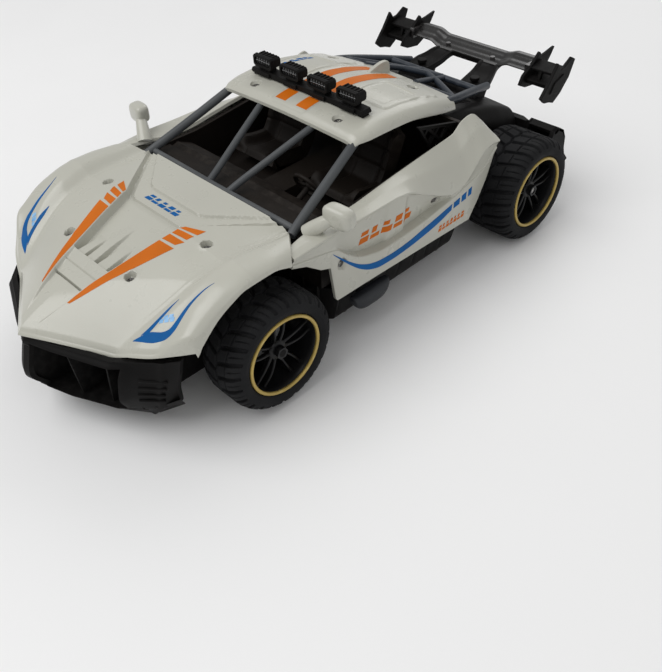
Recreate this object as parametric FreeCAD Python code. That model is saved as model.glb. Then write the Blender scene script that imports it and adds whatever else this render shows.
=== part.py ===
import FreeCAD, Part
import math
import os

# Remote control off-road car, about 1:12 scale, all lengths in millimetres.
#
# Frame: +X is the car's left, the nose points along -Y, +Z is up and the tyres stand on z = 0.
# While it is drawn, y is measured back from the front axle, as a car builder measures it.
# The last step moves every piece by FRONT_AXLE_Y, which puts the origin under the middle.

# --- driving dimensions ---------------------------------------------------------------------
WHEELBASE = 200.0
NOSE_Y = -93.0              # tip of the bumper's beak
TAIL_Y = 264.0              # tips of the wing's inner end plates
OVERALL_HEIGHT = 117.0      # top of the roof lamps
FRONT_AXLE_Y = -(NOSE_Y + TAIL_Y) / 2.0

TYRE_RADIUS = 32.0
AXLE_Z = TYRE_RADIUS
BEAD_RADIUS = 22.0          # where the tyre sits on the rim
FRONT_TYRE_X = (58.0, 86.0)
REAR_TYRE_X = (53.0, 90.0)

PANEL = 1.8                 # wall of the painted body panels
MOULDING = 2.4              # wall of the black structural mouldings
TUBE_RADIUS = 2.2           # cage tubes
SCREW_RADIUS = 1.4
RUNNING = 0.06              # radial clearance of a running fit
LOOSE = 0.3                 # radial clearance where the linkage is open

KINGPIN_X = 52.0
STEER_ARM = 20.0            # kingpin to tie rod pin, and the same on the servo horn
STUB_RADIUS = 2.0
SHAFT_RADIUS = 2.0
TIE_PIN_RADIUS = 1.5
KNUCKLE_Z = (22.5, 41.5)
ARM_Z = (27.0, 30.0)        # steering arms and servo horn
LINK_GAP = 0.4              # free height between stacked moving pieces
FRONT_HUB_START = 61.0      # inner end of the front wheel's hub
HUB_SETBACK = 6.0           # outer end of a hub, in from the tyre's outer face

MODULE = 0.8
PRESSURE = math.radians(25.0)
ADDENDUM = 0.8 * MODULE
DEDENDUM = 1.1 * MODULE
BACKLASH = 0.16
AXLE_TEETH = 36
IDLER_SMALL_TEETH = 12
IDLER_LARGE_TEETH = 30
PINION_TEETH = 10

FLOOR_Z = (10.0, 12.5)      # chassis floor, underside and top
NOSE_HALF_WIDTH = 44.0      # chassis between the front wheels
CABIN_HALF_WIDTH = 70.0     # chassis between the axles
TAIL_HALF_WIDTH = 46.0      # chassis between the rear wheels


def V(x, y, z):
    return FreeCAD.Vector(x, y, z)


X_AXIS = V(1, 0, 0)
Y_AXIS = V(0, 1, 0)
Z_AXIS = V(0, 0, 1)


# --- shape helpers --------------------------------------------------------------------------
def box(x, y, z):
    """Block between the low and high values of each axis."""
    return Part.makeBox(x[1] - x[0], y[1] - y[0], z[1] - z[0], V(x[0], y[0], z[0]))


def both_sides(x):
    """The pair (-x, x)."""
    return (-x, x)


def rod_x(radius, x, y, z):
    return Part.makeCylinder(radius, x[1] - x[0], V(x[0], y, z), X_AXIS)


def rod_y(radius, x, y, z):
    return Part.makeCylinder(radius, y[1] - y[0], V(x, y[0], z), Y_AXIS)


def rod_z(radius, x, y, z):
    return Part.makeCylinder(radius, z[1] - z[0], V(x, y, z[0]), Z_AXIS)


def bar(start, end, radius=TUBE_RADIUS):
    """Round tube between two points, with ball ends so that joined tubes meet cleanly."""
    run = end - start
    tube = Part.makeCylinder(radius, run.Length, start, run)
    for point in (start, end):
        tube = tube.fuse(Part.makeSphere(radius, point))
    return tube


def plate(outline, normal, low, high):
    """Flat outline in the two other axes, extruded along X, Y or Z from low to high."""
    place = {
        "x": lambda a, b: V(low, a, b),
        "y": lambda a, b: V(a, low, b),
        "z": lambda a, b: V(a, b, low),
    }[normal]
    along = {"x": X_AXIS, "y": Y_AXIS, "z": Z_AXIS}[normal]
    corners = [place(a, b) for a, b in outline]
    face = Part.Face(Part.makePolygon(corners + corners[:1]))
    return face.extrude(along * (high - low))


def joined(shapes):
    """One solid out of shapes that touch or overlap."""
    whole = shapes[0].multiFuse(shapes[1:]) if len(shapes) > 1 else shapes[0]
    return whole.removeSplitter()


def without(shape, tools):
    return shape.cut(tools)


def mirrored(shape):
    """The same piece on the car's other side."""
    return shape.mirror(V(0, 0, 0), X_AXIS)


def eased(shape, radius, direction):
    """Rounds the straight edges that run along one axis."""
    edges = []
    for edge in shape.Edges:
        run = edge.Vertexes[-1].Point - edge.Vertexes[0].Point
        if run.Length > 0.5 and abs(run.normalize().dot(direction)) > 0.999:
            edges.append(edge)
    return shape.makeFillet(radius, edges)


def patch(a, b, c, d):
    return Part.makeRuledSurface(Part.makeLine(a, b), Part.makeLine(d, c))


def vertex_normal(grid, row, column):
    """Unit normal of a grid of points, from the neighbours of one of them."""
    last_row = len(grid) - 1
    last_column = len(grid[0]) - 1
    down = grid[min(row + 1, last_row)][column] - grid[max(row - 1, 0)][column]
    across = grid[row][min(column + 1, last_column)] - grid[row][max(column - 1, 0)]
    return across.cross(down).normalize()


def skin(grid, wall, inward=None):
    """Moulded panel with the grid as its outer face. The wall lies against the normals, or inward."""
    rows = len(grid)
    columns = len(grid[0])
    inner = [[grid[r][c] + (inward or vertex_normal(grid, r, c) * -1.0) * wall for c in range(columns)]
             for r in range(rows)]
    faces = []
    for side in (grid, inner):
        for r in range(rows - 1):
            for c in range(columns - 1):
                faces.append(patch(side[r][c], side[r][c + 1], side[r + 1][c + 1], side[r + 1][c]))
    for r in (0, rows - 1):
        for c in range(columns - 1):
            faces.append(patch(grid[r][c], grid[r][c + 1], inner[r][c + 1], inner[r][c]))
    for c in (0, columns - 1):
        for r in range(rows - 1):
            faces.append(patch(grid[r][c], grid[r + 1][c], inner[r + 1][c], inner[r][c]))
    shell = Part.makeShell(faces)
    shell.sewShape()
    solid = Part.Solid(shell)
    if solid.Volume < 0:
        solid.reverse()
    return solid


def blend(low, high, share):
    return low + (high - low) * share


def along(stations, position):
    """Value at a position between stations given as (position, value) pairs."""
    if position <= stations[0][0]:
        return stations[0][1]
    for (start, first), (end, last) in zip(stations, stations[1:]):
        if position <= end:
            return blend(first, last, (position - start) / (end - start))
    return stations[-1][1]


def two_sided(half):
    """Row of points from the right side to the left one, out of its left half from x = 0."""
    return [V(-p.x, p.y, p.z) for p in reversed(half[1:])] + half


PARTS = {}


def keep(name, shape):
    PARTS[name] = shape


# --- hood -----------------------------------------------------------------------------------
HOOD_TIP_Y = -88.0
HOOD_REAR_Y = 29.0
HOOD_CROWN_Y = -8.0
HOOD_TIP_Z = 59.0
HOOD_SLOPE = 0.27
HOOD_FALL = 2.6             # from the crown down to the cowl
HOOD_STATIONS = (0.0, 0.07, 0.18, 0.265, 0.37, 0.52, 0.64, 0.7, 0.75, 0.87, 1.0)
HOOD_FRONT = ((0.0, HOOD_TIP_Y), (11.0, -82.0), (40.0, -66.5), (60.0, -57.0), (72.0, -48.0), (79.0, -42.0))
HOOD_FRONT_LIP = ((0.0, 52.0), (40.0, 51.0), (60.0, 54.0), (72.0, 57.0), (79.0, 59.0))
HOOD_REAR = ((60.0, HOOD_REAR_Y), (79.0, 14.0))
ARCH_LIP = ((0.0, 59.0), (0.22, 69.5), (0.36, 73.5), (0.52, 76.5), (0.8, 77.0), (1.0, 74.0))
TROUGH_EDGE_X = ((HOOD_TIP_Y, 4.5), (-67.5, 11.0), (-6.0, 24.5), (HOOD_REAR_Y, 56.0))
TROUGH_DEPTH = ((-80.0, 0.0), (-66.0, 1.4), (-57.0, 4.2), (-45.0, 3.6), (-20.0, 3.2), (-6.0, 2.4), (0.0, 0.4),
                (HOOD_REAR_Y, 0.6))
TROUGH_WALL = 2.4           # width of the trough's sloped side
EDGE_LIFT = ((-84.0, 0.0), (-66.0, 0.8), (-8.0, 1.6), (HOOD_REAR_Y, 0.4))
FENDER_LIFT = ((0.0, -8.0), (0.1, -1.5), (0.22, 2.0), (0.8, 2.0), (1.0, 1.0))
HOOD_SCREWS = ((27.0, -40.0), (42.0, -6.0))


def hood_height(y):
    """Height of the flat part of the hood: it climbs to the crown and falls to the cowl."""
    crown = HOOD_TIP_Z + HOOD_SLOPE * (HOOD_CROWN_Y - HOOD_TIP_Y)
    if y <= HOOD_CROWN_Y:
        return HOOD_TIP_Z + HOOD_SLOPE * (y - HOOD_TIP_Y)
    return crown - HOOD_FALL * (y - HOOD_CROWN_Y) / (HOOD_REAR_Y - HOOD_CROWN_Y)


def hood_row(share):
    """Half row of hood points, from the middle of the trough over the fender to the arch."""
    middle_y = blend(HOOD_TIP_Y, HOOD_REAR_Y, share)
    edge_x = along(TROUGH_EDGE_X, middle_y)
    depth = along(TROUGH_DEPTH, middle_y)
    lift = along(EDGE_LIFT, middle_y)
    fender = along(FENDER_LIFT, share)
    profile = (
        (0.0, -depth), (edge_x - TROUGH_WALL, -depth), (edge_x, lift), (blend(edge_x, 58.0, 0.4), lift * 0.6),
        (blend(edge_x, 58.0, 0.75), 0.3), (60.0, 0.6), (66.0, fender), (72.0, fender - 0.6),
    )
    row = []
    for x, lift in profile:
        y = blend(along(HOOD_FRONT, x), along(HOOD_REAR, x), share)
        row.append(V(x, y, hood_height(y) + lift))
    lip_x = 79.0
    lip_y = blend(along(HOOD_FRONT, lip_x), along(HOOD_REAR, lip_x), share)
    row.append(V(lip_x, lip_y, along(ARCH_LIP, share)))
    return row


def hood_panel():
    rows = [two_sided(hood_row(share)) for share in HOOD_STATIONS]
    front = rows[0]
    lip = [V(p.x, p.y - 1.0, min(along(HOOD_FRONT_LIP, abs(p.x)), p.z - 2.0)) for p in front]
    panel = skin([lip] + rows, PANEL, V(0, 0.5, -1.0))
    holes = [rod_z(SCREW_RADIUS + RUNNING, x * side, y, (55.0, 95.0))
             for x, y in HOOD_SCREWS for side in (1, -1)]
    return without(panel, holes)


# --- doors ----------------------------------------------------------------------------------
# Each door is a row of upright stations: (y, sill z, waist z, crease z, belt z, belt x).
DOOR_STATIONS = (
    (16.0, 70.0, 72.5, 76.5, 79.0, 72.0),
    (25.0, 66.5, 70.0, 76.8, 79.0, 70.0),
    (34.0, 59.5, 66.0, 77.2, 78.5, 68.0),
    (43.5, 35.0, 57.0, 77.6, 77.5, 66.0),
    (62.0, 34.4, 56.0, 77.8, 76.8, 66.0),
    (96.0, 33.2, 55.0, 76.6, 80.0, 66.0),
    (130.0, 32.0, 54.0, 74.6, 83.8, 66.0),
    (143.0, 31.5, 53.5, 74.2, 84.5, 66.0),
    (151.0, 31.2, 53.5, 74.0, 90.0, 66.0),
    (158.0, 41.0, 57.0, 75.0, 91.5, 66.5),
    (165.0, 53.0, 63.0, 75.5, 86.0, 68.0),
    (171.0, 68.0, 70.0, 74.5, 77.5, 72.0),
)
DOOR_SILL_X = 76.0
DOOR_SCOOP = 3.5            # depth of the sculpted hollow below the crease
DOOR_SCREWS = ((46.0, 52.0), (139.0, 47.0))


def door_column(station):
    y, sill, waist, crease, belt, belt_x = station
    hollow = DOOR_SCOOP * min(1.0, (crease - sill) / 40.0)
    upper = blend(waist, crease, 0.55)
    return [
        V(DOOR_SILL_X, y, sill),
        V(DOOR_SILL_X + 0.8, y, blend(sill, waist, 0.75)),
        V(DOOR_SILL_X + 0.8 - hollow, y, waist + 0.6),
        V(DOOR_SILL_X + 1.0 - hollow * 0.8, y, upper),
        V(DOOR_SILL_X + 2.6, y, crease),
        V(blend(DOOR_SILL_X + 2.6, belt_x, 0.5), y, blend(crease, belt, 0.6) + 0.4),
        V(belt_x, y, belt),
    ]


def door_left():
    panel = skin([door_column(station) for station in DOOR_STATIONS], PANEL, V(-1.0, 0, -0.55))
    holes = [rod_x(SCREW_RADIUS + RUNNING, (60.0, 85.0), y, z) for y, z in DOOR_SCREWS]
    trimmed = without(panel, holes + [PARTS["hood_panel"]])
    return max(trimmed.Solids, key=lambda solid: solid.Volume)


# --- roof, mirrors and lamps ----------------------------------------------------------------
# Roof stations: (y, centre z, shoulder z, edge z, half width).
ROOF_STATIONS = (
    (82.0, 101.0, 100.0, 97.5, 51.5),
    (87.0, 103.0, 101.6, 97.5, 53.0),
    (94.0, 104.2, 102.8, 97.4, 54.0),
    (108.0, 105.2, 103.8, 97.0, 54.0),
    (122.0, 105.6, 103.6, 96.5, 54.0),
    (138.0, 104.2, 101.8, 93.8, 53.5),
    (154.0, 100.6, 98.2, 89.8, 52.0),
    (166.5, 96.0, 93.8, 86.0, 50.0),
)
ROOF_SCREWS = ((33.0, 91.5), (31.5, 153.0))
FIN_Y = (148.0, 166.0)


def roof_row(station):
    y, centre, shoulder, edge, half_width = station
    half = [
        V(0, y, centre),
        V(half_width * 0.3, y, blend(centre, shoulder, 0.2)),
        V(half_width * 0.62, y, blend(centre, shoulder, 0.6)),
        V(half_width * 0.84, y, shoulder),
        V(half_width * 0.96, y, blend(shoulder, edge, 0.3)),
        V(half_width, y, edge),
    ]
    return two_sided(half)


def roof_height(x, y):
    """Top of the roof, near enough to seat what stands on it."""
    centre = along([(s[0], s[1]) for s in ROOF_STATIONS], y)
    shoulder = along([(s[0], s[2]) for s in ROOF_STATIONS], y)
    half_width = along([(s[0], s[4]) for s in ROOF_STATIONS], y)
    return along(((0.0, centre), (half_width * 0.84, shoulder)), abs(x))


def roof_panel():
    panel = skin([roof_row(station) for station in ROOF_STATIONS], PANEL)
    fin = plate(((FIN_Y[0], 101.2), (160.0, 102.4), (FIN_Y[1], 102.6), (164.5, 95.5), (FIN_Y[0], 100.0)),
                "x", -1.0, 1.0)
    panel = joined([panel, fin])
    holes = [rod_z(SCREW_RADIUS + RUNNING, x * side, y, (90.0, 115.0))
             for x, y in ROOF_SCREWS for side in (1, -1)]
    return without(panel, holes)


RAIL_Y = 101.0
RAIL_HALF = (43.0, 2.6)
RAIL_Z = (105.4, 107.4)
LAMP_X = (-33.0, -11.0, 11.0, 33.0)
LAMP_SIZE = (17.0, 7.0)
LAMP_Z = (109.2, OVERALL_HEIGHT)
PEDESTAL_HALF = 4.5
LENS_DEPTH = 1.4


def light_bar_rail():
    half_length, half_depth = RAIL_HALF
    depth = (RAIL_Y - half_depth, RAIL_Y + half_depth)
    pieces = [box(both_sides(half_length), depth, RAIL_Z)]
    for side in (1, -1):
        foot = sorted((side * (half_length - 3.0), side * half_length))
        pieces.append(box(foot, depth, (100.0, RAIL_Z[1])))
    return without(joined(pieces), [PARTS["roof_panel"], box(both_sides(60.0), (90.0, 112.0), (90.0, 103.0))])


def lamp_block(x, y, inset):
    width, _ = LAMP_SIZE
    half = width / 2.0 - inset
    body = box((x - half, x + half), y, (LAMP_Z[0] + inset, LAMP_Z[1] - inset))
    return eased(body, 1.2, Y_AXIS)


def light_bar_lamps():
    _, depth = LAMP_SIZE
    front = RAIL_Y - depth / 2.0
    housings = []
    for x in LAMP_X:
        housing = lamp_block(x, (front, front + depth), 0.0)
        recess = lamp_block(x, (front, front + LENS_DEPTH + 2.0), 1.2)
        pedestal = box((x - PEDESTAL_HALF, x + PEDESTAL_HALF), (RAIL_Y - 2.0, RAIL_Y + 2.0),
                       (RAIL_Z[1], LAMP_Z[0] + 0.5))
        housings.append(joined([without(housing, [recess]), pedestal]))
    return Part.makeCompound(housings)


def lamp_lenses():
    front = RAIL_Y - LAMP_SIZE[1] / 2.0
    seat = front + 2.0
    return Part.makeCompound([lamp_block(x, (seat, seat + LENS_DEPTH), 1.2) for x in LAMP_X])


MIRROR_FOOT = V(69.0, 35.0, 79.2)
MIRROR_HEAD = V(82.0, 43.0, 88.0)


def mirrors():
    stalk = bar(MIRROR_FOOT, MIRROR_HEAD - V(4.0, 0, 2.0), 1.5)
    head = box((MIRROR_HEAD.x - 6.5, MIRROR_HEAD.x + 6.5), (MIRROR_HEAD.y - 3.0, MIRROR_HEAD.y + 3.0),
               (MIRROR_HEAD.z - 4.0, MIRROR_HEAD.z + 4.5))
    head = eased(head, 2.5, Y_AXIS)
    left = without(joined([stalk, head]), [PARTS["door_left"]])
    left = max(left.Solids, key=lambda solid: solid.Volume)
    return Part.makeCompound([left, mirrored(left)])


# --- cage and interior ----------------------------------------------------------------------
PILLAR_FOOT = V(59.5, 34.0, 76.0)
PILLAR_HEAD = V(49.0, 87.0, 96.0)
BRACE_FOOT = V(8.0, 34.0, 76.0)
BRACE_HEAD = V(21.0, 86.0, 97.7)
SIDE_WALL_X = (62.0, 64.4)
COWL_Y = 31.5
COWL_Z = (71.0, 73.4)
TUB_Y = (44.0, 160.0)
TUB_FLOOR_Z = (50.0, 52.0)


def windscreen_cage():
    """Windscreen frame of the roll cage: two pillars, two slanted braces and their cross bars."""
    tubes = []
    for side in (1, -1):
        foot = V(side * PILLAR_FOOT.x, PILLAR_FOOT.y, PILLAR_FOOT.z)
        head = V(side * PILLAR_HEAD.x, PILLAR_HEAD.y, PILLAR_HEAD.z)
        tubes.append(bar(foot, head))
        tubes.append(bar(V(side * BRACE_FOOT.x, BRACE_FOOT.y, BRACE_FOOT.z),
                         V(side * BRACE_HEAD.x, BRACE_HEAD.y, BRACE_HEAD.z), TUBE_RADIUS * 0.8))
    tubes.append(bar(V(-PILLAR_FOOT.x, PILLAR_FOOT.y, PILLAR_FOOT.z), PILLAR_FOOT))
    tubes.append(bar(V(-PILLAR_HEAD.x, PILLAR_HEAD.y, PILLAR_HEAD.z), PILLAR_HEAD))
    return joined(tubes)


def rear_cage():
    """Stays from the back of the roof down to the deck, crossed by bars."""
    tubes = []
    top_y, top_z = 172.0, 88.0
    low_y, low_z = 221.0, 75.0
    for side in (1, -1):
        tubes.append(bar(V(side * 44.0, top_y, top_z), V(side * 31.0, low_y, low_z)))
        tubes.append(bar(V(side * 44.0, top_y, top_z), V(-side * 8.0, 206.0, 79.0), TUBE_RADIUS * 0.8))
    tubes.append(bar(V(-35.0, 206.0, 79.0), V(35.0, 206.0, 79.0)))
    tubes.append(bar(V(-44.0, top_y, top_z), V(44.0, top_y, top_z)))
    return joined(tubes)


GRILLE_OUTLINE = ((124.0, 93.5), (156.5, 84.5), (152.0, 66.0), (141.5, 66.0))
GRILLE_X = (57.0, 58.8)
GRILLE_PITCH = 8.0
GRILLE_BAR = 1.6


def lattice_grille():
    """Diamond grille behind a side window: a frame with bars both ways inside it."""
    frame = plate(GRILLE_OUTLINE, "x", *GRILLE_X)
    middle_y = sum(p[0] for p in GRILLE_OUTLINE) / len(GRILLE_OUTLINE)
    middle_z = sum(p[1] for p in GRILLE_OUTLINE) / len(GRILLE_OUTLINE)
    opening = [(blend(middle_y, y, 0.84), blend(middle_z, z, 0.84)) for y, z in GRILLE_OUTLINE]
    holes = plate(opening, "x", *GRILLE_X)
    bars = []
    for turn in (45.0, -45.0):
        for step in range(-3, 4):
            strip = box(GRILLE_X, both_sides(30.0), (step * GRILLE_PITCH, step * GRILLE_PITCH + GRILLE_BAR))
            strip.rotate(V(0, 0, 0), X_AXIS, turn)
            strip.translate(V(0, middle_y, middle_z))
            bars.append(strip)
    return frame.cut(holes.cut(bars))


def cockpit_tub():
    """Open dark tub that closes the cabin from below and carries the cage, panels and seats."""
    floor = box(both_sides(SIDE_WALL_X[1]), TUB_Y, TUB_FLOOR_Z)
    pieces = [floor]
    wall = ((TUB_Y[0], 36.0), (TUB_Y[0], 74.5), (66.0, 74.0), (128.0, 80.0), (TUB_Y[1], 80.0),
            (TUB_Y[1], 36.0))
    for low, high in (SIDE_WALL_X, (-SIDE_WALL_X[1], -SIDE_WALL_X[0])):
        pieces.append(plate(wall, "x", low, high))
    pieces.append(box(both_sides(SIDE_WALL_X[1]), (TUB_Y[1] - MOULDING, TUB_Y[1]), (46.0, 84.0)))
    pieces.append(box(both_sides(SIDE_WALL_X[1]), (TUB_Y[0], TUB_Y[0] + MOULDING), (36.0, COWL_Z[1])))
    pieces.append(box(both_sides(SIDE_WALL_X[1]), (COWL_Y, TUB_Y[0]), COWL_Z))
    tunnel = box(both_sides(9.0), (66.0, TUB_Y[1] - MOULDING), (TUB_FLOOR_Z[1], 60.0))
    pieces.append(tunnel)
    return joined(pieces)


SEAT_X = 32.0
SEAT_HALF = 17.0


def seats():
    pair = []
    for side in (1, -1):
        middle = side * SEAT_X
        span = (middle - SEAT_HALF, middle + SEAT_HALF)
        outline = ((84.0, TUB_FLOOR_Z[1]), (82.0, 63.0), (108.0, 60.0), (124.0, 92.0), (130.0, 92.0),
                   (122.0, TUB_FLOOR_Z[1]))
        seat = plate(outline, "x", *span)
        pair.append(eased(seat, 3.0, X_AXIS))
    return Part.makeCompound(pair)


def dashboard():
    front = TUB_Y[0] + MOULDING + 0.2
    outline = ((front, TUB_FLOOR_Z[1]), (front, 71.5), (front + 5.0, 73.0), (front + 14.0, 69.0),
               (front + 12.0, 60.0), (front + 6.0, TUB_FLOOR_Z[1]))
    half_width = SIDE_WALL_X[0] - LOOSE
    return plate(outline, "x", -half_width, half_width)


STEERING_WHEEL_CENTRE = V(30.0, 70.0, 71.0)


def steering_wheel():
    """Cabin steering wheel, tilted towards the driver, on its column from the dashboard."""
    rim = Part.makeTorus(9.0, 1.2)
    spokes = box(both_sides(9.0), both_sides(1.2), both_sides(0.7))
    column = Part.makeCylinder(1.6, 13.0, V(0, 0, -13.0))
    wheel = joined([rim, spokes, column, Part.makeCylinder(2.6, 1.6, V(0, 0, -0.8))])
    wheel.rotate(V(0, 0, 0), X_AXIS, -62.0)
    wheel.translate(STEERING_WHEEL_CENTRE)
    return wheel.cut(PARTS["dashboard"])


# --- tail -----------------------------------------------------------------------------------
def rear_deck():
    """Black rear cover over the gearbox, between the rear wheels."""
    profile = ((162.5, 82.0), (176.0, 80.0), (212.0, 70.5), (232.0, 62.0))
    half_width = 47.0
    rows = []
    for y, z in profile:
        rows.append(two_sided([V(0, y, z), V(30.0, y, z), V(half_width, y, z - 3.0),
                               V(half_width + 1.5, y, z - 14.0)]))
    return skin(rows, MOULDING)


def wing_struts():
    """Broad bracket that carries the wing behind the deck, open in the middle."""
    slope = ((206.0, 69.0), (209.0, 74.0), (230.0, 77.2), (239.0, 80.0), (247.0, 79.6), (247.0, 77.0),
             (238.0, 76.4), (229.0, 73.0), (224.0, 60.0), (216.0, 60.0))
    bracket = plate(slope, "x", *both_sides(STRUT_HALF))
    opening = plate(((-14.0, 216.0), (14.0, 216.0), (11.0, 240.0), (-11.0, 240.0)), "z", 50.0, 90.0)
    waist = [plate(((side * 24.0, 247.5), (side * 31.0, 247.5), (side * 31.0, 226.0)), "z", 50.0, 90.0)
             for side in (1, -1)]
    cutters = [opening] + waist + [PARTS["rear_deck"], PARTS["rear_cage"], PARTS["wing_blade"]]
    trimmed = bracket.cut(cutters)
    return max(trimmed.Solids, key=lambda solid: solid.Volume)


BLADE_X = 47.0
BLADE_OUTLINE = ((234.0, 77.4), (237.0, 79.8), (246.0, 82.0), (252.0, 83.6), (253.0, 82.2), (246.0, 79.6),
                 (239.0, 77.6))
BLADE_RISE = 3.0            # the blade's ends stand higher than its middle
BLADE_KINKS = (24.0, 31.0)
STRUT_HALF = 30.0


def wing_blade():
    """Blade with a low middle, a slanted step on each side and raised ends."""
    def section(x, rise):
        corners = [V(x, y, z + rise) for y, z in BLADE_OUTLINE]
        return Part.makePolygon(corners + corners[:1])
    pieces = []
    stations = ((-BLADE_X, BLADE_RISE), (-BLADE_KINKS[1], BLADE_RISE), (-BLADE_KINKS[0], 0.0),
                (BLADE_KINKS[0], 0.0), (BLADE_KINKS[1], BLADE_RISE), (BLADE_X, BLADE_RISE))
    for (start, low), (end, high) in zip(stations, stations[1:]):
        pieces.append(Part.makeLoft([section(start, low), section(end, high)], True, True))
    return joined(pieces)


INNER_PLATE_X = (47.0, 49.0)
OUTER_PLATE_X = (66.0, 68.0)
INNER_PLATE = ((230.0, 77.0), (234.0, 83.0), (241.0, 87.0), (248.0, 92.0), (252.0, 89.0), (TAIL_Y, 91.0),
               (258.0, 84.0), (253.0, 76.0), (246.0, 73.0), (236.0, 74.0))
OUTER_PLATE = ((225.0, 75.0), (232.0, 83.0), (239.0, 92.5), (244.0, 88.0), (253.0, 92.0), (257.0, 90.0),
               (254.0, 82.0), (246.0, 74.0), (239.0, 69.0), (234.0, 71.0))


def wing_endplate():
    """Spiked double end plate: two plates tied by webs."""
    inner = plate(INNER_PLATE, "x", *INNER_PLATE_X)
    outer = plate(OUTER_PLATE, "x", *OUTER_PLATE_X)
    web = plate(((236.0, 77.0), (249.0, 79.0), (249.0, 81.0), (236.0, 79.4)), "x",
                INNER_PLATE_X[0], OUTER_PLATE_X[1])
    return joined([inner, outer, web])


EAR_X = (52.0, 78.0)
EAR_OUTLINE = ((235.0, 20.0), (235.0, 46.0), (243.0, 58.0), (252.0, 54.0), (256.0, 38.0), (248.0, 20.0))
EAR_HOLLOW = ((232.0, 24.0), (232.0, 44.0), (243.0, 54.0), (249.0, 51.0), (252.5, 38.0), (246.0, 24.0))


def rear_bumper():
    """Rear lower moulding with an ear behind each wheel."""
    wall = box(both_sides(56.0), (234.5, 237.5), (14.0, 56.0))
    skid = box(both_sides(50.0), (227.0, 237.5), (FLOOR_Z[1], FLOOR_Z[1] + 2.4))
    ear = plate(EAR_OUTLINE, "x", *EAR_X)
    hollow = plate(EAR_HOLLOW, "x", EAR_X[0], EAR_X[1] - MOULDING)
    ear = ear.cut(hollow)
    return joined([wall, skid, ear, mirrored(ear)])


# --- chassis --------------------------------------------------------------------------------
BATTERY_BAY_X = 33.0
BATTERY_BAY_Y = (76.0, 134.0)
BAY_WALL_TOP = 30.0
COVER_GAP = 0.3
SWITCH_X = (-46.0, -42.0)
SWITCH_Y = (57.0, 60.0)
SWITCH_TRAVEL = 3.0
TRIM_PIVOT_Y = 30.0
BOARD_Z = 18.0
BOARD_POSTS = ((-26.0, 48.0), (26.0, 48.0), (-26.0, 70.0), (26.0, 70.0))


def chassis_tray():
    """Main tray: stepped floor, sills between the axles, battery bay and mounting posts."""
    half = ((NOSE_HALF_WIDTH, -52.0), (NOSE_HALF_WIDTH, 38.0), (CABIN_HALF_WIDTH, 45.0), (CABIN_HALF_WIDTH, 150.0),
            (62.0, 160.0), (TAIL_HALF_WIDTH, 165.0), (TAIL_HALF_WIDTH, 234.0))
    outline = half + tuple((-x, y) for x, y in reversed(half))
    floor = plate(outline, "z", *FLOOR_Z)
    pieces = [floor]
    sill = ((45.0, FLOOR_Z[0]), (150.0, FLOOR_Z[0]), (150.0, 40.0), (45.0, 40.0))
    for side in (1, -1):
        low, high = sorted((side * (CABIN_HALF_WIDTH - MOULDING), side * CABIN_HALF_WIDTH))
        pieces.append(plate(sill, "x", low, high))
        low, high = sorted((side * BATTERY_BAY_X, side * (BATTERY_BAY_X + MOULDING)))
        pieces.append(box((low, high), (BATTERY_BAY_Y[0] - MOULDING, BATTERY_BAY_Y[1] + MOULDING),
                          (FLOOR_Z[0], BAY_WALL_TOP)))
    for y in (BATTERY_BAY_Y[0] - MOULDING, BATTERY_BAY_Y[1]):
        pieces.append(box(both_sides(BATTERY_BAY_X), (y, y + MOULDING), (FLOOR_Z[0], BAY_WALL_TOP)))
    for x, y in BOARD_POSTS:
        pieces.append(rod_z(2.6, x, y, (FLOOR_Z[1], BOARD_Z)))
    tray = joined(pieces)
    cover_seat = box(both_sides(BATTERY_BAY_X - 1.0), (BATTERY_BAY_Y[0] + 1.0, BATTERY_BAY_Y[1] - 1.0),
                     FLOOR_Z)
    switch_slot = box((SWITCH_X[0] - COVER_GAP, SWITCH_X[1] + COVER_GAP),
                      (SWITCH_Y[0] - COVER_GAP, SWITCH_Y[1] + SWITCH_TRAVEL + COVER_GAP), FLOOR_Z)
    trim_hole = rod_z(1.5 + RUNNING, 0.0, TRIM_PIVOT_Y, FLOOR_Z)
    screw_holes = [rod_z(SCREW_RADIUS, x, y, FLOOR_Z) for x, y in CHASSIS_SCREWS]
    return without(tray, [cover_seat, switch_slot, trim_hole] + screw_holes)


LEFT_CHASSIS_SCREWS = ((36.0, -34.0), (60.0, 62.0), (60.0, 140.0), (38.0, 172.0), (38.0, 222.0))
CHASSIS_SCREWS = tuple((x * side, y) for x, y in LEFT_CHASSIS_SCREWS for side in (1, -1))


def chassis_screws():
    screws = []
    for x, y in CHASSIS_SCREWS:
        head = rod_z(SCREW_RADIUS * 1.9, x, y, (FLOOR_Z[0] - 1.4, FLOOR_Z[0]))
        drive = box((x - 0.35, x + 0.35), (y - 2.0, y + 2.0), (FLOOR_Z[0] - 1.4, FLOOR_Z[0] - 0.7))
        cross = box((x - 2.0, x + 2.0), (y - 0.35, y + 0.35), (FLOOR_Z[0] - 1.4, FLOOR_Z[0] - 0.7))
        shank = rod_z(SCREW_RADIUS, x, y, (FLOOR_Z[0], FLOOR_Z[1] + 2.0))
        screws.append(joined([head.cut([drive, cross]), shank]))
    return Part.makeCompound(screws)


def battery_cover():
    half = BATTERY_BAY_X - 1.0 - COVER_GAP
    y = (BATTERY_BAY_Y[0] + 1.0 + COVER_GAP, BATTERY_BAY_Y[1] - 1.0 - COVER_GAP)
    lid = box(both_sides(half), y, FLOOR_Z)
    ribs = [box((x, x + 1.0), (y[0] + 8.0, y[1] - 8.0), (FLOOR_Z[0], FLOOR_Z[0] + 0.6))
            for x in range(-20, 21, 5)]
    return lid.cut(ribs)


CELL_RADIUS = 7.2
CELL_LENGTH = 50.0


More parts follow.
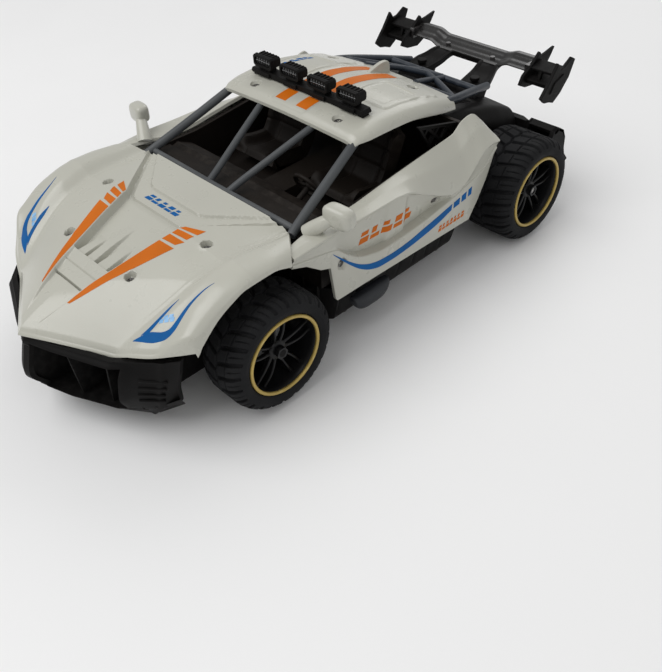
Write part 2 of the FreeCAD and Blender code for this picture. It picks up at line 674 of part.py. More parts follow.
def battery_cells():
    """Four AA size cells side by side."""
    start = sum(BATTERY_BAY_Y) / 2.0 - CELL_LENGTH / 2.0
    height = FLOOR_Z[1] + CELL_RADIUS + LOOSE
    cells = []
    for number in range(4):
        x = (number - 1.5) * (2.0 * CELL_RADIUS + LOOSE)
        can = rod_y(CELL_RADIUS, x, (start, start + CELL_LENGTH - 1.5), height)
        tip = rod_y(2.6, x, (start + CELL_LENGTH - 1.5, start + CELL_LENGTH), height)
        cells.append(joined([can, tip]))
    return Part.makeCompound(cells)


def circuit_board():
    """Receiver and speed control board on its four posts, with its parts soldered on."""
    board = box(both_sides(32.0), (44.0, 73.0), (BOARD_Z, BOARD_Z + 1.6))
    top = BOARD_Z + 1.6
    parts = [box((-20.0, -8.0), (50.0, 60.0), (top, top + 2.0))]
    parts.append(box((4.0, 12.0), (54.0, 60.0), (top, top + 1.6)))
    parts += [rod_z(2.5, x, 66.0, (top, top + 7.0)) for x in (-18.0, -10.0)]
    parts.append(box((16.0, 26.0), (50.0, 66.0), (top, top + 6.0)))
    return joined([board] + parts)


def body_screws():
    """Panel screws: four in the hood, four in the roof and two in each door."""
    screws = []
    head = 2.6
    for x, y in HOOD_SCREWS:
        top = hood_height(y) - PANEL
        for side in (1, -1):
            screws.append(joined([rod_z(SCREW_RADIUS, x * side, y, (top - 5.0, top + 1.0)),
                                  rod_z(head, x * side, y, (top - 3.0, top - 1.6))]))
    for x, y in ROOF_SCREWS:
        top = roof_height(x, y) - PANEL
        for side in (1, -1):
            screws.append(joined([rod_z(SCREW_RADIUS, x * side, y, (top - 4.0, top + 1.0)),
                                  rod_z(head, x * side, y, (top - 3.0, top - 1.6))]))
    for y, z in DOOR_SCREWS:
        for side in (1, -1):
            shank = rod_x(SCREW_RADIUS, (70.5, 76.5), y, z)
            washer = rod_x(head, (70.5, 71.5), y, z)
            screw = joined([shank, washer])
            screws.append(screw if side > 0 else mirrored(screw))
    return Part.makeCompound(screws)


def side_steps():
    """Rounded step below each sill."""
    outline = ((70.0, 12.0), (92.0, 12.0), (98.0, 16.0), (97.0, 25.0), (68.0, 25.0), (65.0, 18.0))
    step = plate(outline, "x", CABIN_HALF_WIDTH, CABIN_HALF_WIDTH + 5.0)
    step = eased(step, 2.0, X_AXIS)
    return Part.makeCompound([step, mirrored(step)])


# --- front bumper ---------------------------------------------------------------------------
# Outline of the bumper in plan at four heights: half the width, from the centre outwards.
BUMPER_COLUMNS = (0.0, 0.14, 0.3, 0.5, 0.72, 0.88, 1.0)
BUMPER_LEVELS = (
    (8.0, ((0.0, -76.0), (16.0, -73.0), (37.0, -64.0), (51.0, -54.0), (52.0, -44.0))),
    (19.0, ((0.0, -86.5), (16.0, -81.0), (44.0, -67.0), (60.0, -54.0), (63.0, -47.0))),
    (30.0, ((0.0, NOSE_Y), (16.0, -86.0), (46.0, -69.0), (64.0, -54.0), (68.0, -48.0))),
    (41.0, ((0.0, -89.0), (16.0, -82.5), (46.0, -67.0), (66.0, -53.0), (70.0, -47.0))),
    (50.0, ((0.0, -86.5), (16.0, -78.5), (46.0, -63.0), (66.0, -51.5), (71.0, -46.5))),
)
MOUTH_X = 40.0
MOUTH_Z = (21.0, 43.0)
MOUTH_SLOTS = 8
RIB = 2.0


def bumper_point(outline, share):
    """Point at a share of the way along one outline."""
    steps = len(outline) - 1
    whole = min(int(share * steps), steps - 1)
    part = share * steps - whole
    (x0, y0), (x1, y1) = outline[whole], outline[whole + 1]
    return blend(x0, x1, part), blend(y0, y1, part)


def front_bumper():
    """Black bumper: a beaked shell with a ribbed mouth and a skid foot on each side."""
    rows = []
    for z, outline in BUMPER_LEVELS:
        half = []
        for share in BUMPER_COLUMNS:
            x, y = bumper_point(outline, share)
            half.append(V(x, y, z))
        rows.append(two_sided(half))
    shell = skin(rows, MOULDING)
    pitch = 2.0 * MOUTH_X / MOUTH_SLOTS
    slots = []
    for number in range(MOUTH_SLOTS):
        x = -MOUTH_X + number * pitch
        slots.append(box((x + RIB / 2.0, x + pitch - RIB / 2.0), (-110.0, -50.0), MOUTH_Z))
    shell = shell.cut(slots)
    half = ((16.0, -72.0), (40.0, -61.0), (46.0, -57.0), (44.0, -52.2))
    floor = plate(half + tuple((-x, y) for x, y in reversed(half)), "z", *FLOOR_Z)
    return joined([shell, floor])


# --- steering -------------------------------------------------------------------------------
BEAM_Y = 7.0
TOWER_X = (34.0, 40.0)
LOWER_ARM_Z = (19.0, 22.0)
UPPER_ARM_Z = (42.0, 45.0)


def front_beam():
    """Front beam: a tower each side with the two arms that hold a steering knuckle."""
    pieces = [box(both_sides(TOWER_X[1]), both_sides(BEAM_Y), UPPER_ARM_Z)]
    for side in (1, -1):
        tower = sorted((side * TOWER_X[0], side * TOWER_X[1]))
        pieces.append(box(tower, both_sides(BEAM_Y), (FLOOR_Z[1], UPPER_ARM_Z[1])))
        reach = sorted((side * TOWER_X[1], side * KINGPIN_X))
        for level in (LOWER_ARM_Z, UPPER_ARM_Z):
            pieces.append(box(reach, both_sides(4.0), level))
            pieces.append(rod_z(4.0, side * KINGPIN_X, 0.0, level))
    beam = joined(pieces)
    holes = [rod_z(STUB_RADIUS + RUNNING, side * KINGPIN_X, 0.0, (15.0, 50.0)) for side in (1, -1)]
    return without(beam, holes)


def knuckle_left():
    """Steering knuckle: kingpin stubs, wheel spindle and an arm straight back."""
    core = box((KINGPIN_X - 4.5, KINGPIN_X + 5.0), both_sides(4.5),
               (KNUCKLE_Z[0] + LINK_GAP, KNUCKLE_Z[1] - LINK_GAP))
    pin = rod_z(STUB_RADIUS, KINGPIN_X, 0.0, (LOWER_ARM_Z[0] + LINK_GAP, UPPER_ARM_Z[1] - LINK_GAP))
    spindle = rod_x(SHAFT_RADIUS, (KINGPIN_X, FRONT_TYRE_X[1] - 3.0), 0.0, AXLE_Z)
    arm = box((KINGPIN_X - 2.5, KINGPIN_X + 2.5), (0.0, STEER_ARM), ARM_Z)
    eye = rod_z(3.4, KINGPIN_X, STEER_ARM, ARM_Z)
    shoulder = rod_x(SHAFT_RADIUS + 1.2, (KINGPIN_X, FRONT_HUB_START - LOOSE), 0.0, AXLE_Z)
    return joined([core, pin, spindle, shoulder, arm, eye])


def tie_rod_hole(x, clearance):
    return rod_z(TIE_PIN_RADIUS + clearance, x, STEER_ARM, (ARM_Z[0] - 1.0, ARM_Z[1] + 1.0))


def tie_rod():
    """Track rod lying on the two knuckle arms and the servo horn, with a pin down into each."""
    level = (ARM_Z[1] + LINK_GAP, ARM_Z[1] + LINK_GAP + 2.6)
    pieces = [box(both_sides(KINGPIN_X), (STEER_ARM - 1.8, STEER_ARM + 1.8), level)]
    for x in (-KINGPIN_X, 0.0, KINGPIN_X):
        pieces.append(rod_z(3.0, x, STEER_ARM, level))
        pieces.append(rod_z(TIE_PIN_RADIUS, x, STEER_ARM, (ARM_Z[0] + 0.2, level[1])))
    return joined(pieces)


SERVO_X = 15.0
SERVO_Y = (-9.0, 13.0)
SERVO_TOP = ARM_Z[0] - 1.0


def steering_servo():
    body = box(both_sides(SERVO_X), SERVO_Y, (FLOOR_Z[1], SERVO_TOP - 0.6))
    boss = rod_z(4.0, 0.0, 0.0, (SERVO_TOP - 0.6, SERVO_TOP))
    lugs = box(both_sides(SERVO_X + 6.0), SERVO_Y, (18.0, 20.0))
    bore = rod_z(STUB_RADIUS + RUNNING, 0.0, 0.0, (SERVO_TOP - 4.0, SERVO_TOP))
    return without(joined([body, boss, lugs]), [bore])


def servo_horn():
    arm = box(both_sides(2.5), (0.0, STEER_ARM), ARM_Z)
    hub = rod_z(4.0, 0.0, 0.0, ARM_Z)
    eye = rod_z(3.4, 0.0, STEER_ARM, ARM_Z)
    shaft = rod_z(STUB_RADIUS, 0.0, 0.0, (SERVO_TOP - 3.4, ARM_Z[1]))
    return without(joined([arm, hub, eye, shaft]), [tie_rod_hole(0.0, LOOSE)])


def trim_lever():
    """Steering trim lever under the chassis, on a pin through the floor."""
    level = (FLOOR_Z[0] - 2.2, FLOOR_Z[0] - LOOSE)
    disc = rod_z(5.0, 0.0, TRIM_PIVOT_Y, level)
    handle = box(both_sides(1.8), (TRIM_PIVOT_Y, TRIM_PIVOT_Y + 13.0), level)
    pin = rod_z(1.5, 0.0, TRIM_PIVOT_Y, (level[0], FLOOR_Z[1] + 1.0))
    cap = rod_z(2.6, 0.0, TRIM_PIVOT_Y, (FLOOR_Z[1] + LOOSE, FLOOR_Z[1] + 1.3))
    return joined([disc, handle, pin, cap])


def power_switch_knob():
    """Slide switch knob through the chassis floor, held by its plate above it."""
    knob = box(SWITCH_X, SWITCH_Y, (FLOOR_Z[0] - 1.2, FLOOR_Z[1] + 2.0))
    flange = box((SWITCH_X[0] - 2.5, SWITCH_X[1] + 2.5), (SWITCH_Y[0] - 4.5, SWITCH_Y[1] + 4.5),
                 (FLOOR_Z[1] + LOOSE, FLOOR_Z[1] + 1.5))
    return joined([knob, flange])


# --- drive ----------------------------------------------------------------------------------
REAR_Y = WHEELBASE
AXLE_TO_IDLER = MODULE * (AXLE_TEETH + IDLER_SMALL_TEETH) / 2.0
IDLER_TO_MOTOR = MODULE * (IDLER_LARGE_TEETH + PINION_TEETH) / 2.0
IDLER_DIRECTION = math.radians(156.0)
MOTOR_DIRECTION = math.radians(205.0)
IDLER_Y = REAR_Y + AXLE_TO_IDLER * math.cos(IDLER_DIRECTION)
IDLER_Z = AXLE_Z + AXLE_TO_IDLER * math.sin(IDLER_DIRECTION)
MOTOR_Y = IDLER_Y + IDLER_TO_MOTOR * math.cos(MOTOR_DIRECTION)
MOTOR_Z = IDLER_Z + IDLER_TO_MOTOR * math.sin(MOTOR_DIRECTION)
MOTOR_RADIUS = 12.0
MOTOR_LENGTH = 32.0
FIRST_STAGE_X = (10.0, 14.5)
SECOND_STAGE_X = (16.0, 20.0)
GEARBOX_X = (7.0, 24.0)
GEARBOX_SPLIT = 15.25
GEARBOX_WALL = 1.8
MOTOR_SHAFT_RADIUS = 1.15
IDLER_PIN_RADIUS = 1.5


def involute(angle):
    return math.tan(angle) - angle


def gear(teeth, x, y, z, phase):
    """Spur gear on an axis along X, with one tooth centred on the phase angle."""
    pitch = MODULE * teeth / 2.0
    base = pitch * math.cos(PRESSURE)
    tip = pitch + ADDENDUM
    root = pitch - DEDENDUM
    half_tooth = math.pi / (2.0 * teeth) - BACKLASH / (2.0 * pitch) + involute(PRESSURE)
    start = max(base, root + 0.05)
    radii = [start, blend(start, tip, 0.5), tip]
    flank = [(r, half_tooth - involute(math.acos(base / r))) for r in radii]
    flank = [(root, flank[0][1])] + flank
    points = []
    for tooth in range(teeth):
        middle = phase + 2.0 * math.pi * tooth / teeth
        turns = [(r, middle - a) for r, a in flank] + [(r, middle + a) for r, a in reversed(flank)]
        points += [(y + r * math.cos(a), z + r * math.sin(a)) for r, a in turns]
    return plate(points, "x", *x)


def axle_gear():
    wheel = gear(AXLE_TEETH, FIRST_STAGE_X, REAR_Y, AXLE_Z, IDLER_DIRECTION)
    hub = rod_x(5.0, (FIRST_STAGE_X[0] - 0.7, FIRST_STAGE_X[1]), REAR_Y, AXLE_Z)
    lightening = [rod_x(3.0, FIRST_STAGE_X, REAR_Y + 9.0 * math.cos(a), AXLE_Z + 9.0 * math.sin(a))
                  for a in (math.tau * n / 6.0 for n in range(6))]
    return without(joined([wheel, hub]), lightening + [PARTS["rear_axle_shaft"]])


def idler_gear():
    small = gear(IDLER_SMALL_TEETH, (FIRST_STAGE_X[0], SECOND_STAGE_X[0]), IDLER_Y, IDLER_Z,
                 IDLER_DIRECTION + math.pi + math.pi / IDLER_SMALL_TEETH)
    large = gear(IDLER_LARGE_TEETH, SECOND_STAGE_X, IDLER_Y, IDLER_Z, MOTOR_DIRECTION)
    bore = rod_x(IDLER_PIN_RADIUS + RUNNING, (0.0, 30.0), IDLER_Y, IDLER_Z)
    return without(joined([small, large]), [bore])


def motor_pinion():
    """Brass pinion and the motor shaft it is pressed on."""
    teeth = gear(PINION_TEETH, (SECOND_STAGE_X[0] - 0.3, SECOND_STAGE_X[1] + 0.3), MOTOR_Y, MOTOR_Z,
                 MOTOR_DIRECTION + math.pi + math.pi / PINION_TEETH)
    shaft = rod_x(MOTOR_SHAFT_RADIUS, (1.0, SECOND_STAGE_X[1] + 1.0), MOTOR_Y, MOTOR_Z)
    return joined([teeth, shaft])


def motor_can():
    end = GEARBOX_X[0] - 0.2
    can = rod_x(MOTOR_RADIUS, (end - MOTOR_LENGTH, end), MOTOR_Y, MOTOR_Z)
    flats = [box((end - MOTOR_LENGTH, end), (MOTOR_Y - 20.0, MOTOR_Y + 20.0), level)
             for level in ((MOTOR_Z + 10.0, MOTOR_Z + 20.0), (MOTOR_Z - 20.0, MOTOR_Z - 10.0))]
    cap = rod_x(3.0, (end - MOTOR_LENGTH - 2.0, end - MOTOR_LENGTH), MOTOR_Y, MOTOR_Z)
    bore = rod_x(MOTOR_SHAFT_RADIUS + RUNNING, (0.0, 10.0), MOTOR_Y, MOTOR_Z)
    return without(joined([can.cut(flats), cap]), [bore])


def gearbox_shape(x, margin):
    """The gearbox outline, a round lobe about each shaft, between two planes."""
    lobes = ((REAR_Y, AXLE_Z, 18.6), (IDLER_Y, IDLER_Z, 15.2), (MOTOR_Y, MOTOR_Z, 12.0))
    return joined([rod_x(radius - margin, x, y, z) for y, z, radius in lobes])


def gearbox_half(x, closed_end):
    low, high = x
    outer = gearbox_shape(x, 0.0)
    inside = (low, high - GEARBOX_WALL) if closed_end == "high" else (low + GEARBOX_WALL, high)
    shell = outer.cut(gearbox_shape(inside, GEARBOX_WALL))
    bush_seat = rod_x(BUSH_RADIUS, x, REAR_Y, AXLE_Z)
    return shell.cut(bush_seat)


BUSH_RADIUS = 3.6


def gearbox_left_half():
    return gearbox_half((GEARBOX_SPLIT, GEARBOX_X[1]), "high")


def gearbox_right_half():
    half = gearbox_half((GEARBOX_X[0], GEARBOX_SPLIT), "low")
    pin = rod_x(IDLER_PIN_RADIUS, (GEARBOX_X[0], GEARBOX_X[1] - GEARBOX_WALL), IDLER_Y, IDLER_Z)
    shaft_hole = rod_x(2.2, (GEARBOX_X[0], GEARBOX_SPLIT), MOTOR_Y, MOTOR_Z)
    return joined([half.cut(shaft_hole), pin])


CARRIER_X = (40.0, 44.0)


def axle_bushes():
    bushes = []
    left_wall = (GEARBOX_X[1] - GEARBOX_WALL, GEARBOX_X[1] + 3.0)
    right_wall = (GEARBOX_X[0] - 1.5, GEARBOX_X[0] + GEARBOX_WALL)
    for x in (left_wall, right_wall, CARRIER_X, (-CARRIER_X[1], -CARRIER_X[0])):
        bush = rod_x(BUSH_RADIUS, x, REAR_Y, AXLE_Z)
        bushes.append(bush.cut(rod_x(SHAFT_RADIUS + RUNNING, x, REAR_Y, AXLE_Z)))
    return Part.makeCompound(bushes)


def axle_carriers():
    """Uprights of the tray that hold the outer rear axle bushes."""
    carriers = []
    for x in (CARRIER_X, (-CARRIER_X[1], -CARRIER_X[0])):
        upright = box(x, (REAR_Y - 9.0, REAR_Y + 9.0), (FLOOR_Z[1] - 1.0, AXLE_Z + 8.0))
        carriers.append(upright.cut(rod_x(BUSH_RADIUS, x, REAR_Y, AXLE_Z)))
    return carriers


def rear_axle_shaft():
    return rod_x(SHAFT_RADIUS, both_sides(REAR_TYRE_X[1] - 4.0), REAR_Y, AXLE_Z)


# --- wheels ---------------------------------------------------------------------------------
TREAD_DEPTH = 2.6
TREAD_PITCHES = 22
TREAD_LEAN = 24.0           # slant of the tread grooves, in degrees
GROOVE = 2.4
SPOKE_PAIRS = 5
RING_SECTION = 1.1


def revolved(profile, y):
    """Solid of revolution about a wheel axle: the profile is (x, radius) points."""
    corners = [V(x, y, AXLE_Z + radius) for x, radius in profile]
    face = Part.Face(Part.makePolygon(corners + corners[:1]))
    return face.revolve(V(0, y, AXLE_Z), X_AXIS, 360.0)


def tyre(x, y):
    """Balloon tyre with slanted tread blocks on both shoulders and a smooth side wall."""
    inner, outer = x
    reach = (outer - inner) * 0.55
    wall = 3.2
    profile = (
        (inner + 2.0, BEAD_RADIUS), (inner, BEAD_RADIUS + 3.5), (inner + 0.8, TYRE_RADIUS - 3.6),
        (inner + 3.0, TYRE_RADIUS - 0.8), (inner + 6.0, TYRE_RADIUS), (outer - 6.0, TYRE_RADIUS),
        (outer - 3.0, TYRE_RADIUS - 0.8), (outer - 0.8, TYRE_RADIUS - 3.6), (outer, BEAD_RADIUS + 3.5),
        (outer - 2.0, BEAD_RADIUS), (outer - 2.0 - wall, BEAD_RADIUS), (outer - wall, TYRE_RADIUS - wall - 2.4),
        (inner + wall, TYRE_RADIUS - wall - 2.4), (inner + 2.0 + wall, BEAD_RADIUS),
    )
    carcass = revolved(profile, y)
    grooves = []
    for number in range(TREAD_PITCHES):
        turn = 360.0 * number / TREAD_PITCHES
        inner_row = (inner - 1.0, TREAD_LEAN, 0.0)
        outer_row = (outer + 1.0 - reach, -TREAD_LEAN, 180.0 / TREAD_PITCHES)
        for start, lean, offset in (inner_row, outer_row):
            groove = box((0.0, reach), both_sides(GROOVE / 2.0), (TYRE_RADIUS - TREAD_DEPTH, TYRE_RADIUS + 3.0))
            groove.rotate(V(reach / 2.0, 0, 0), Z_AXIS, lean)
            groove.translate(V(start, y, AXLE_Z))
            groove.rotate(V(0, y, AXLE_Z), X_AXIS, turn + offset)
            grooves.append(groove)
    return carcass.cut(grooves)


def rim(x, y, hub_start, bore_radius):
    """Dished rim: a barrel, a hub and five pairs of thin spokes near the outer face."""
    inner, outer = x
    barrel_in = inner + 2.0
    barrel_out = outer - 2.2
    outside = rod_x(BEAD_RADIUS, (barrel_in, barrel_out), y, AXLE_Z)
    inside = rod_x(BEAD_RADIUS - 1.8, (barrel_in, barrel_out), y, AXLE_Z)
    hub_end = outer - HUB_SETBACK
    pieces = [outside.cut(inside), rod_x(5.0, (hub_start, hub_end), y, AXLE_Z)]
    face_x = (hub_end - 3.0, hub_end)
    for number in range(SPOKE_PAIRS):
        for offset in (-2.6, 1.2):
            spoke = box(face_x, (offset, offset + 1.4), (3.0, BEAD_RADIUS - 1.0))
            spoke.translate(V(0, y, AXLE_Z))
            spoke.rotate(V(0, y, AXLE_Z), X_AXIS, 360.0 * number / SPOKE_PAIRS)
            pieces.append(spoke)
    return joined(pieces).cut(rod_x(bore_radius, (hub_start, hub_end), y, AXLE_Z))


def rim_ring(x, y):
    """Thin bright ring on the rim's outer edge."""
    _, outer = x
    level = (outer - 2.2, outer - 2.2 + 2.0 * RING_SECTION)
    return rod_x(BEAD_RADIUS, level, y, AXLE_Z).cut(rod_x(BEAD_RADIUS - 1.8, level, y, AXLE_Z))


NUT_RADIUS = 3.4
NUT_HEIGHT = 2.6


def wheel_nut(y, start):
    """Hexagon nut on the end of a spindle or axle."""
    turns = [math.tau * number / 6.0 for number in range(6)]
    corners = [(y + NUT_RADIUS * math.cos(turn), AXLE_Z + NUT_RADIUS * math.sin(turn)) for turn in turns]
    nut = plate(corners, "x", start, start + NUT_HEIGHT)
    return nut.cut(rod_x(SHAFT_RADIUS, (start, start + NUT_HEIGHT), y, AXLE_Z))


# --- assembly -------------------------------------------------------------------------------
def build_body():
    keep("hood_panel", hood_panel())
    keep("door_left", door_left())
    keep("door_right", mirrored(PARTS["door_left"]))
    keep("roof_panel", roof_panel())
    keep("light_bar_rail", light_bar_rail())
    keep("light_bar_lamps", light_bar_lamps())
    keep("lamp_lenses", lamp_lenses())
    keep("mirrors", mirrors())
    keep("front_bumper", front_bumper())
    keep("side_steps", side_steps())
    keep("body_screws", body_screws())


def build_cabin():
    tub = cockpit_tub()
    keep("windscreen_cage", windscreen_cage().cut([tub, PARTS["roof_panel"]]))
    keep("cockpit_tub", tub)
    keep("dashboard", dashboard())
    keep("steering_wheel", steering_wheel())
    keep("seats", seats())
    grille = lattice_grille()
    keep("lattice_left", grille)
    keep("lattice_right", mirrored(grille))


def build_tail():
    keep("rear_deck", rear_deck())
    keep("rear_cage", rear_cage().cut([PARTS["rear_deck"], PARTS["roof_panel"]]))
    keep("wing_blade", wing_blade())
    keep("wing_struts", wing_struts())
    endplate = wing_endplate()
    keep("wing_endplate_left", endplate)
    keep("wing_endplate_right", mirrored(endplate))
    keep("rear_bumper", rear_bumper())


def build_chassis():
    keep("chassis_tray", joined([chassis_tray()] + axle_carriers()))
    keep("chassis_screws", chassis_screws())
    keep("battery_cover", battery_cover())
    keep("battery_cells", battery_cells())
    keep("circuit_board", circuit_board())
    keep("front_beam", front_beam())
    keep("steering_servo", steering_servo())
    keep("power_switch_knob", power_switch_knob())
    keep("trim_lever", trim_lever())


def build_steering():
    knuckle = knuckle_left()
    keep("knuckle_left", knuckle.cut(tie_rod_hole(KINGPIN_X, RUNNING)))
    keep("knuckle_right", mirrored(knuckle.cut(tie_rod_hole(KINGPIN_X, LOOSE))))
    keep("tie_rod", tie_rod())
    keep("servo_horn", servo_horn())


def build_drive():
    keep("rear_axle_shaft", rear_axle_shaft())
    keep("axle_gear", axle_gear())
    keep("idler_gear", idler_gear())
    keep("motor_pinion", motor_pinion())
    keep("motor_can", motor_can())
    keep("gearbox_left_half", gearbox_left_half())
    keep("gearbox_right_half", gearbox_right_half())
    keep("axle_bushes", axle_bushes())


def build_wheels():
    front_rim = rim(FRONT_TYRE_X, 0.0, FRONT_HUB_START, SHAFT_RADIUS + RUNNING)
    rear_rim = rim(REAR_TYRE_X, REAR_Y, REAR_TYRE_X[0] - 5.0, SHAFT_RADIUS)
    front_tyre = tyre(FRONT_TYRE_X, 0.0)
    rear_tyre = tyre(REAR_TYRE_X, REAR_Y)
    front_ring = rim_ring(FRONT_TYRE_X, 0.0)
    rear_ring = rim_ring(REAR_TYRE_X, REAR_Y)
    front_nut = wheel_nut(0.0, FRONT_TYRE_X[1] - HUB_SETBACK + LOOSE)
    rear_nut = wheel_nut(REAR_Y, REAR_TYRE_X[1] - HUB_SETBACK)
    for side, place in (("left", lambda s: s), ("right", mirrored)):
        keep("tyre_front_" + side, place(front_tyre))
        keep("tyre_rear_" + side, place(rear_tyre))
        keep("rim_front_" + side, place(front_rim))
        keep("rim_rear_" + side, place(rear_rim))
        keep("rim_ring_front_" + side, place(front_ring))
        keep("wheel_nut_front_" + side, place(front_nut))
    keep("rim_rings_rear", Part.makeCompound([rear_ring, mirrored(rear_ring)]))
    keep("wheel_nuts_rear", Part.makeCompound([rear_nut, mirrored(rear_nut)]))


def main():
    os.makedirs("parts", exist_ok=True)
    build_body()
    build_cabin()
    build_tail()
    build_chassis()
    build_steering()
    build_drive()
    build_wheels()
    for name, shape in PARTS.items():
        placed = shape.copy()
        placed.translate(V(0, FRONT_AXLE_Y, 0))
        placed.exportStep("parts/" + name + ".step")
        state = "ok" if placed.isValid() else "INVALID"
        print(name, len(placed.Solids), round(placed.Volume, 1), state)


main()
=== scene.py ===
import math

import bmesh
import bpy
import numpy as np
from mathutils import Matrix, Vector


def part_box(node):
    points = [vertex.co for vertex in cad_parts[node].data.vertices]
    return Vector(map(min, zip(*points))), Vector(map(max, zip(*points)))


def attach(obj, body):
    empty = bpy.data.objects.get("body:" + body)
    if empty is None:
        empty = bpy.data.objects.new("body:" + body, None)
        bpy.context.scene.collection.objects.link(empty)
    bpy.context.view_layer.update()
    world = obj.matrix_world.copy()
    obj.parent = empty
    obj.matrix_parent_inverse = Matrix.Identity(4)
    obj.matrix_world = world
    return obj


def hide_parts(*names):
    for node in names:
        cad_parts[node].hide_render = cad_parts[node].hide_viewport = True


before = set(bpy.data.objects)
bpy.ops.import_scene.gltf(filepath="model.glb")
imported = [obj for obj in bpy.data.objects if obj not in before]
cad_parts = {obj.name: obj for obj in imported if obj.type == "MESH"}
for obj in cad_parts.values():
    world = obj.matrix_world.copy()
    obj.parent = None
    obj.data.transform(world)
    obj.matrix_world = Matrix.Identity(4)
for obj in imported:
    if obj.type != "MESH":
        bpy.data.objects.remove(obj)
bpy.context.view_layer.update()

bl_info = {
    "name": "Racing Car Body Works",
    "version": (1, 0, 0),
    "blender": (4, 5, 0),
    "location": "View3D > Sidebar > Race Car",
    "description": "Makes the finished panels, wheels and trim of a toy racing car",
    "category": "Object",
}

# Every length in this file is in millimetres unless its name says otherwise. Lengths along the
# car are measured back from the front axle, heights up from the ground, and +X is the car's left.
MM = 0.001


def middle(node):
    """Middle of a CAD node at rest, in metres."""
    low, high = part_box(node)
    return (low + high) / 2.0


AXLE_Y = middle("rim_front_left").y
AXLE_Z = middle("rim_front_left").z / MM
REAR_Y = (middle("rim_rear_left").y - AXLE_Y) / MM


# --- curves and steps -----------------------------------------------------------------------
def flow(stations, at):
    """Smooth curve through (place, value) stations that never overshoots them."""
    place = np.array([s[0] for s in stations], float)
    value = np.array([s[1] for s in stations], float)
    run = np.diff(place)
    slope = np.diff(value) / run
    lean = np.zeros(len(place))
    both = slope[:-1] * slope[1:]
    total = slope[:-1] + slope[1:]
    lean[1:-1] = np.where(both > 0, 2.0 * both / np.where(total == 0, 1.0, total), 0.0)
    lean[0], lean[-1] = slope[0], slope[-1]
    at = np.clip(np.asarray(at, float), place[0], place[-1])
    i = np.clip(np.searchsorted(place, at) - 1, 0, len(run) - 1)
    t = (at - place[i]) / run[i]
    t2, t3 = t * t, t * t * t
    return (value[i] * (2 * t3 - 3 * t2 + 1) + value[i + 1] * (3 * t2 - 2 * t3)
            + run[i] * (lean[i] * (t3 - 2 * t2 + t) + lean[i + 1] * (t3 - t2)))


def straight(stations, at):
    """Straight runs between (place, value) stations."""
    return np.interp(at, [s[0] for s in stations], [s[1] for s in stations])


def step(start, end, at):
    """0 before start, 1 after end, eased between. It falls when end is before start."""
    t = np.clip((at - start) / (end - start), 0.0, 1.0)
    return t * t * (3.0 - 2.0 * t)


def ridge(centre, half, at, soft=0.35):
    """1 within half of the centre, eased to 0 over soft on both sides."""
    return step(half + soft, half - soft, np.abs(at - centre))


def corner_depth(a, b, radius):
    """How far inside two edges a point is, with the corner between them rounded."""
    u = np.maximum(radius - a, 0.0)
    v = np.maximum(radius - b, 0.0)
    return np.minimum(np.minimum(a, b), radius - np.hypot(u, v))


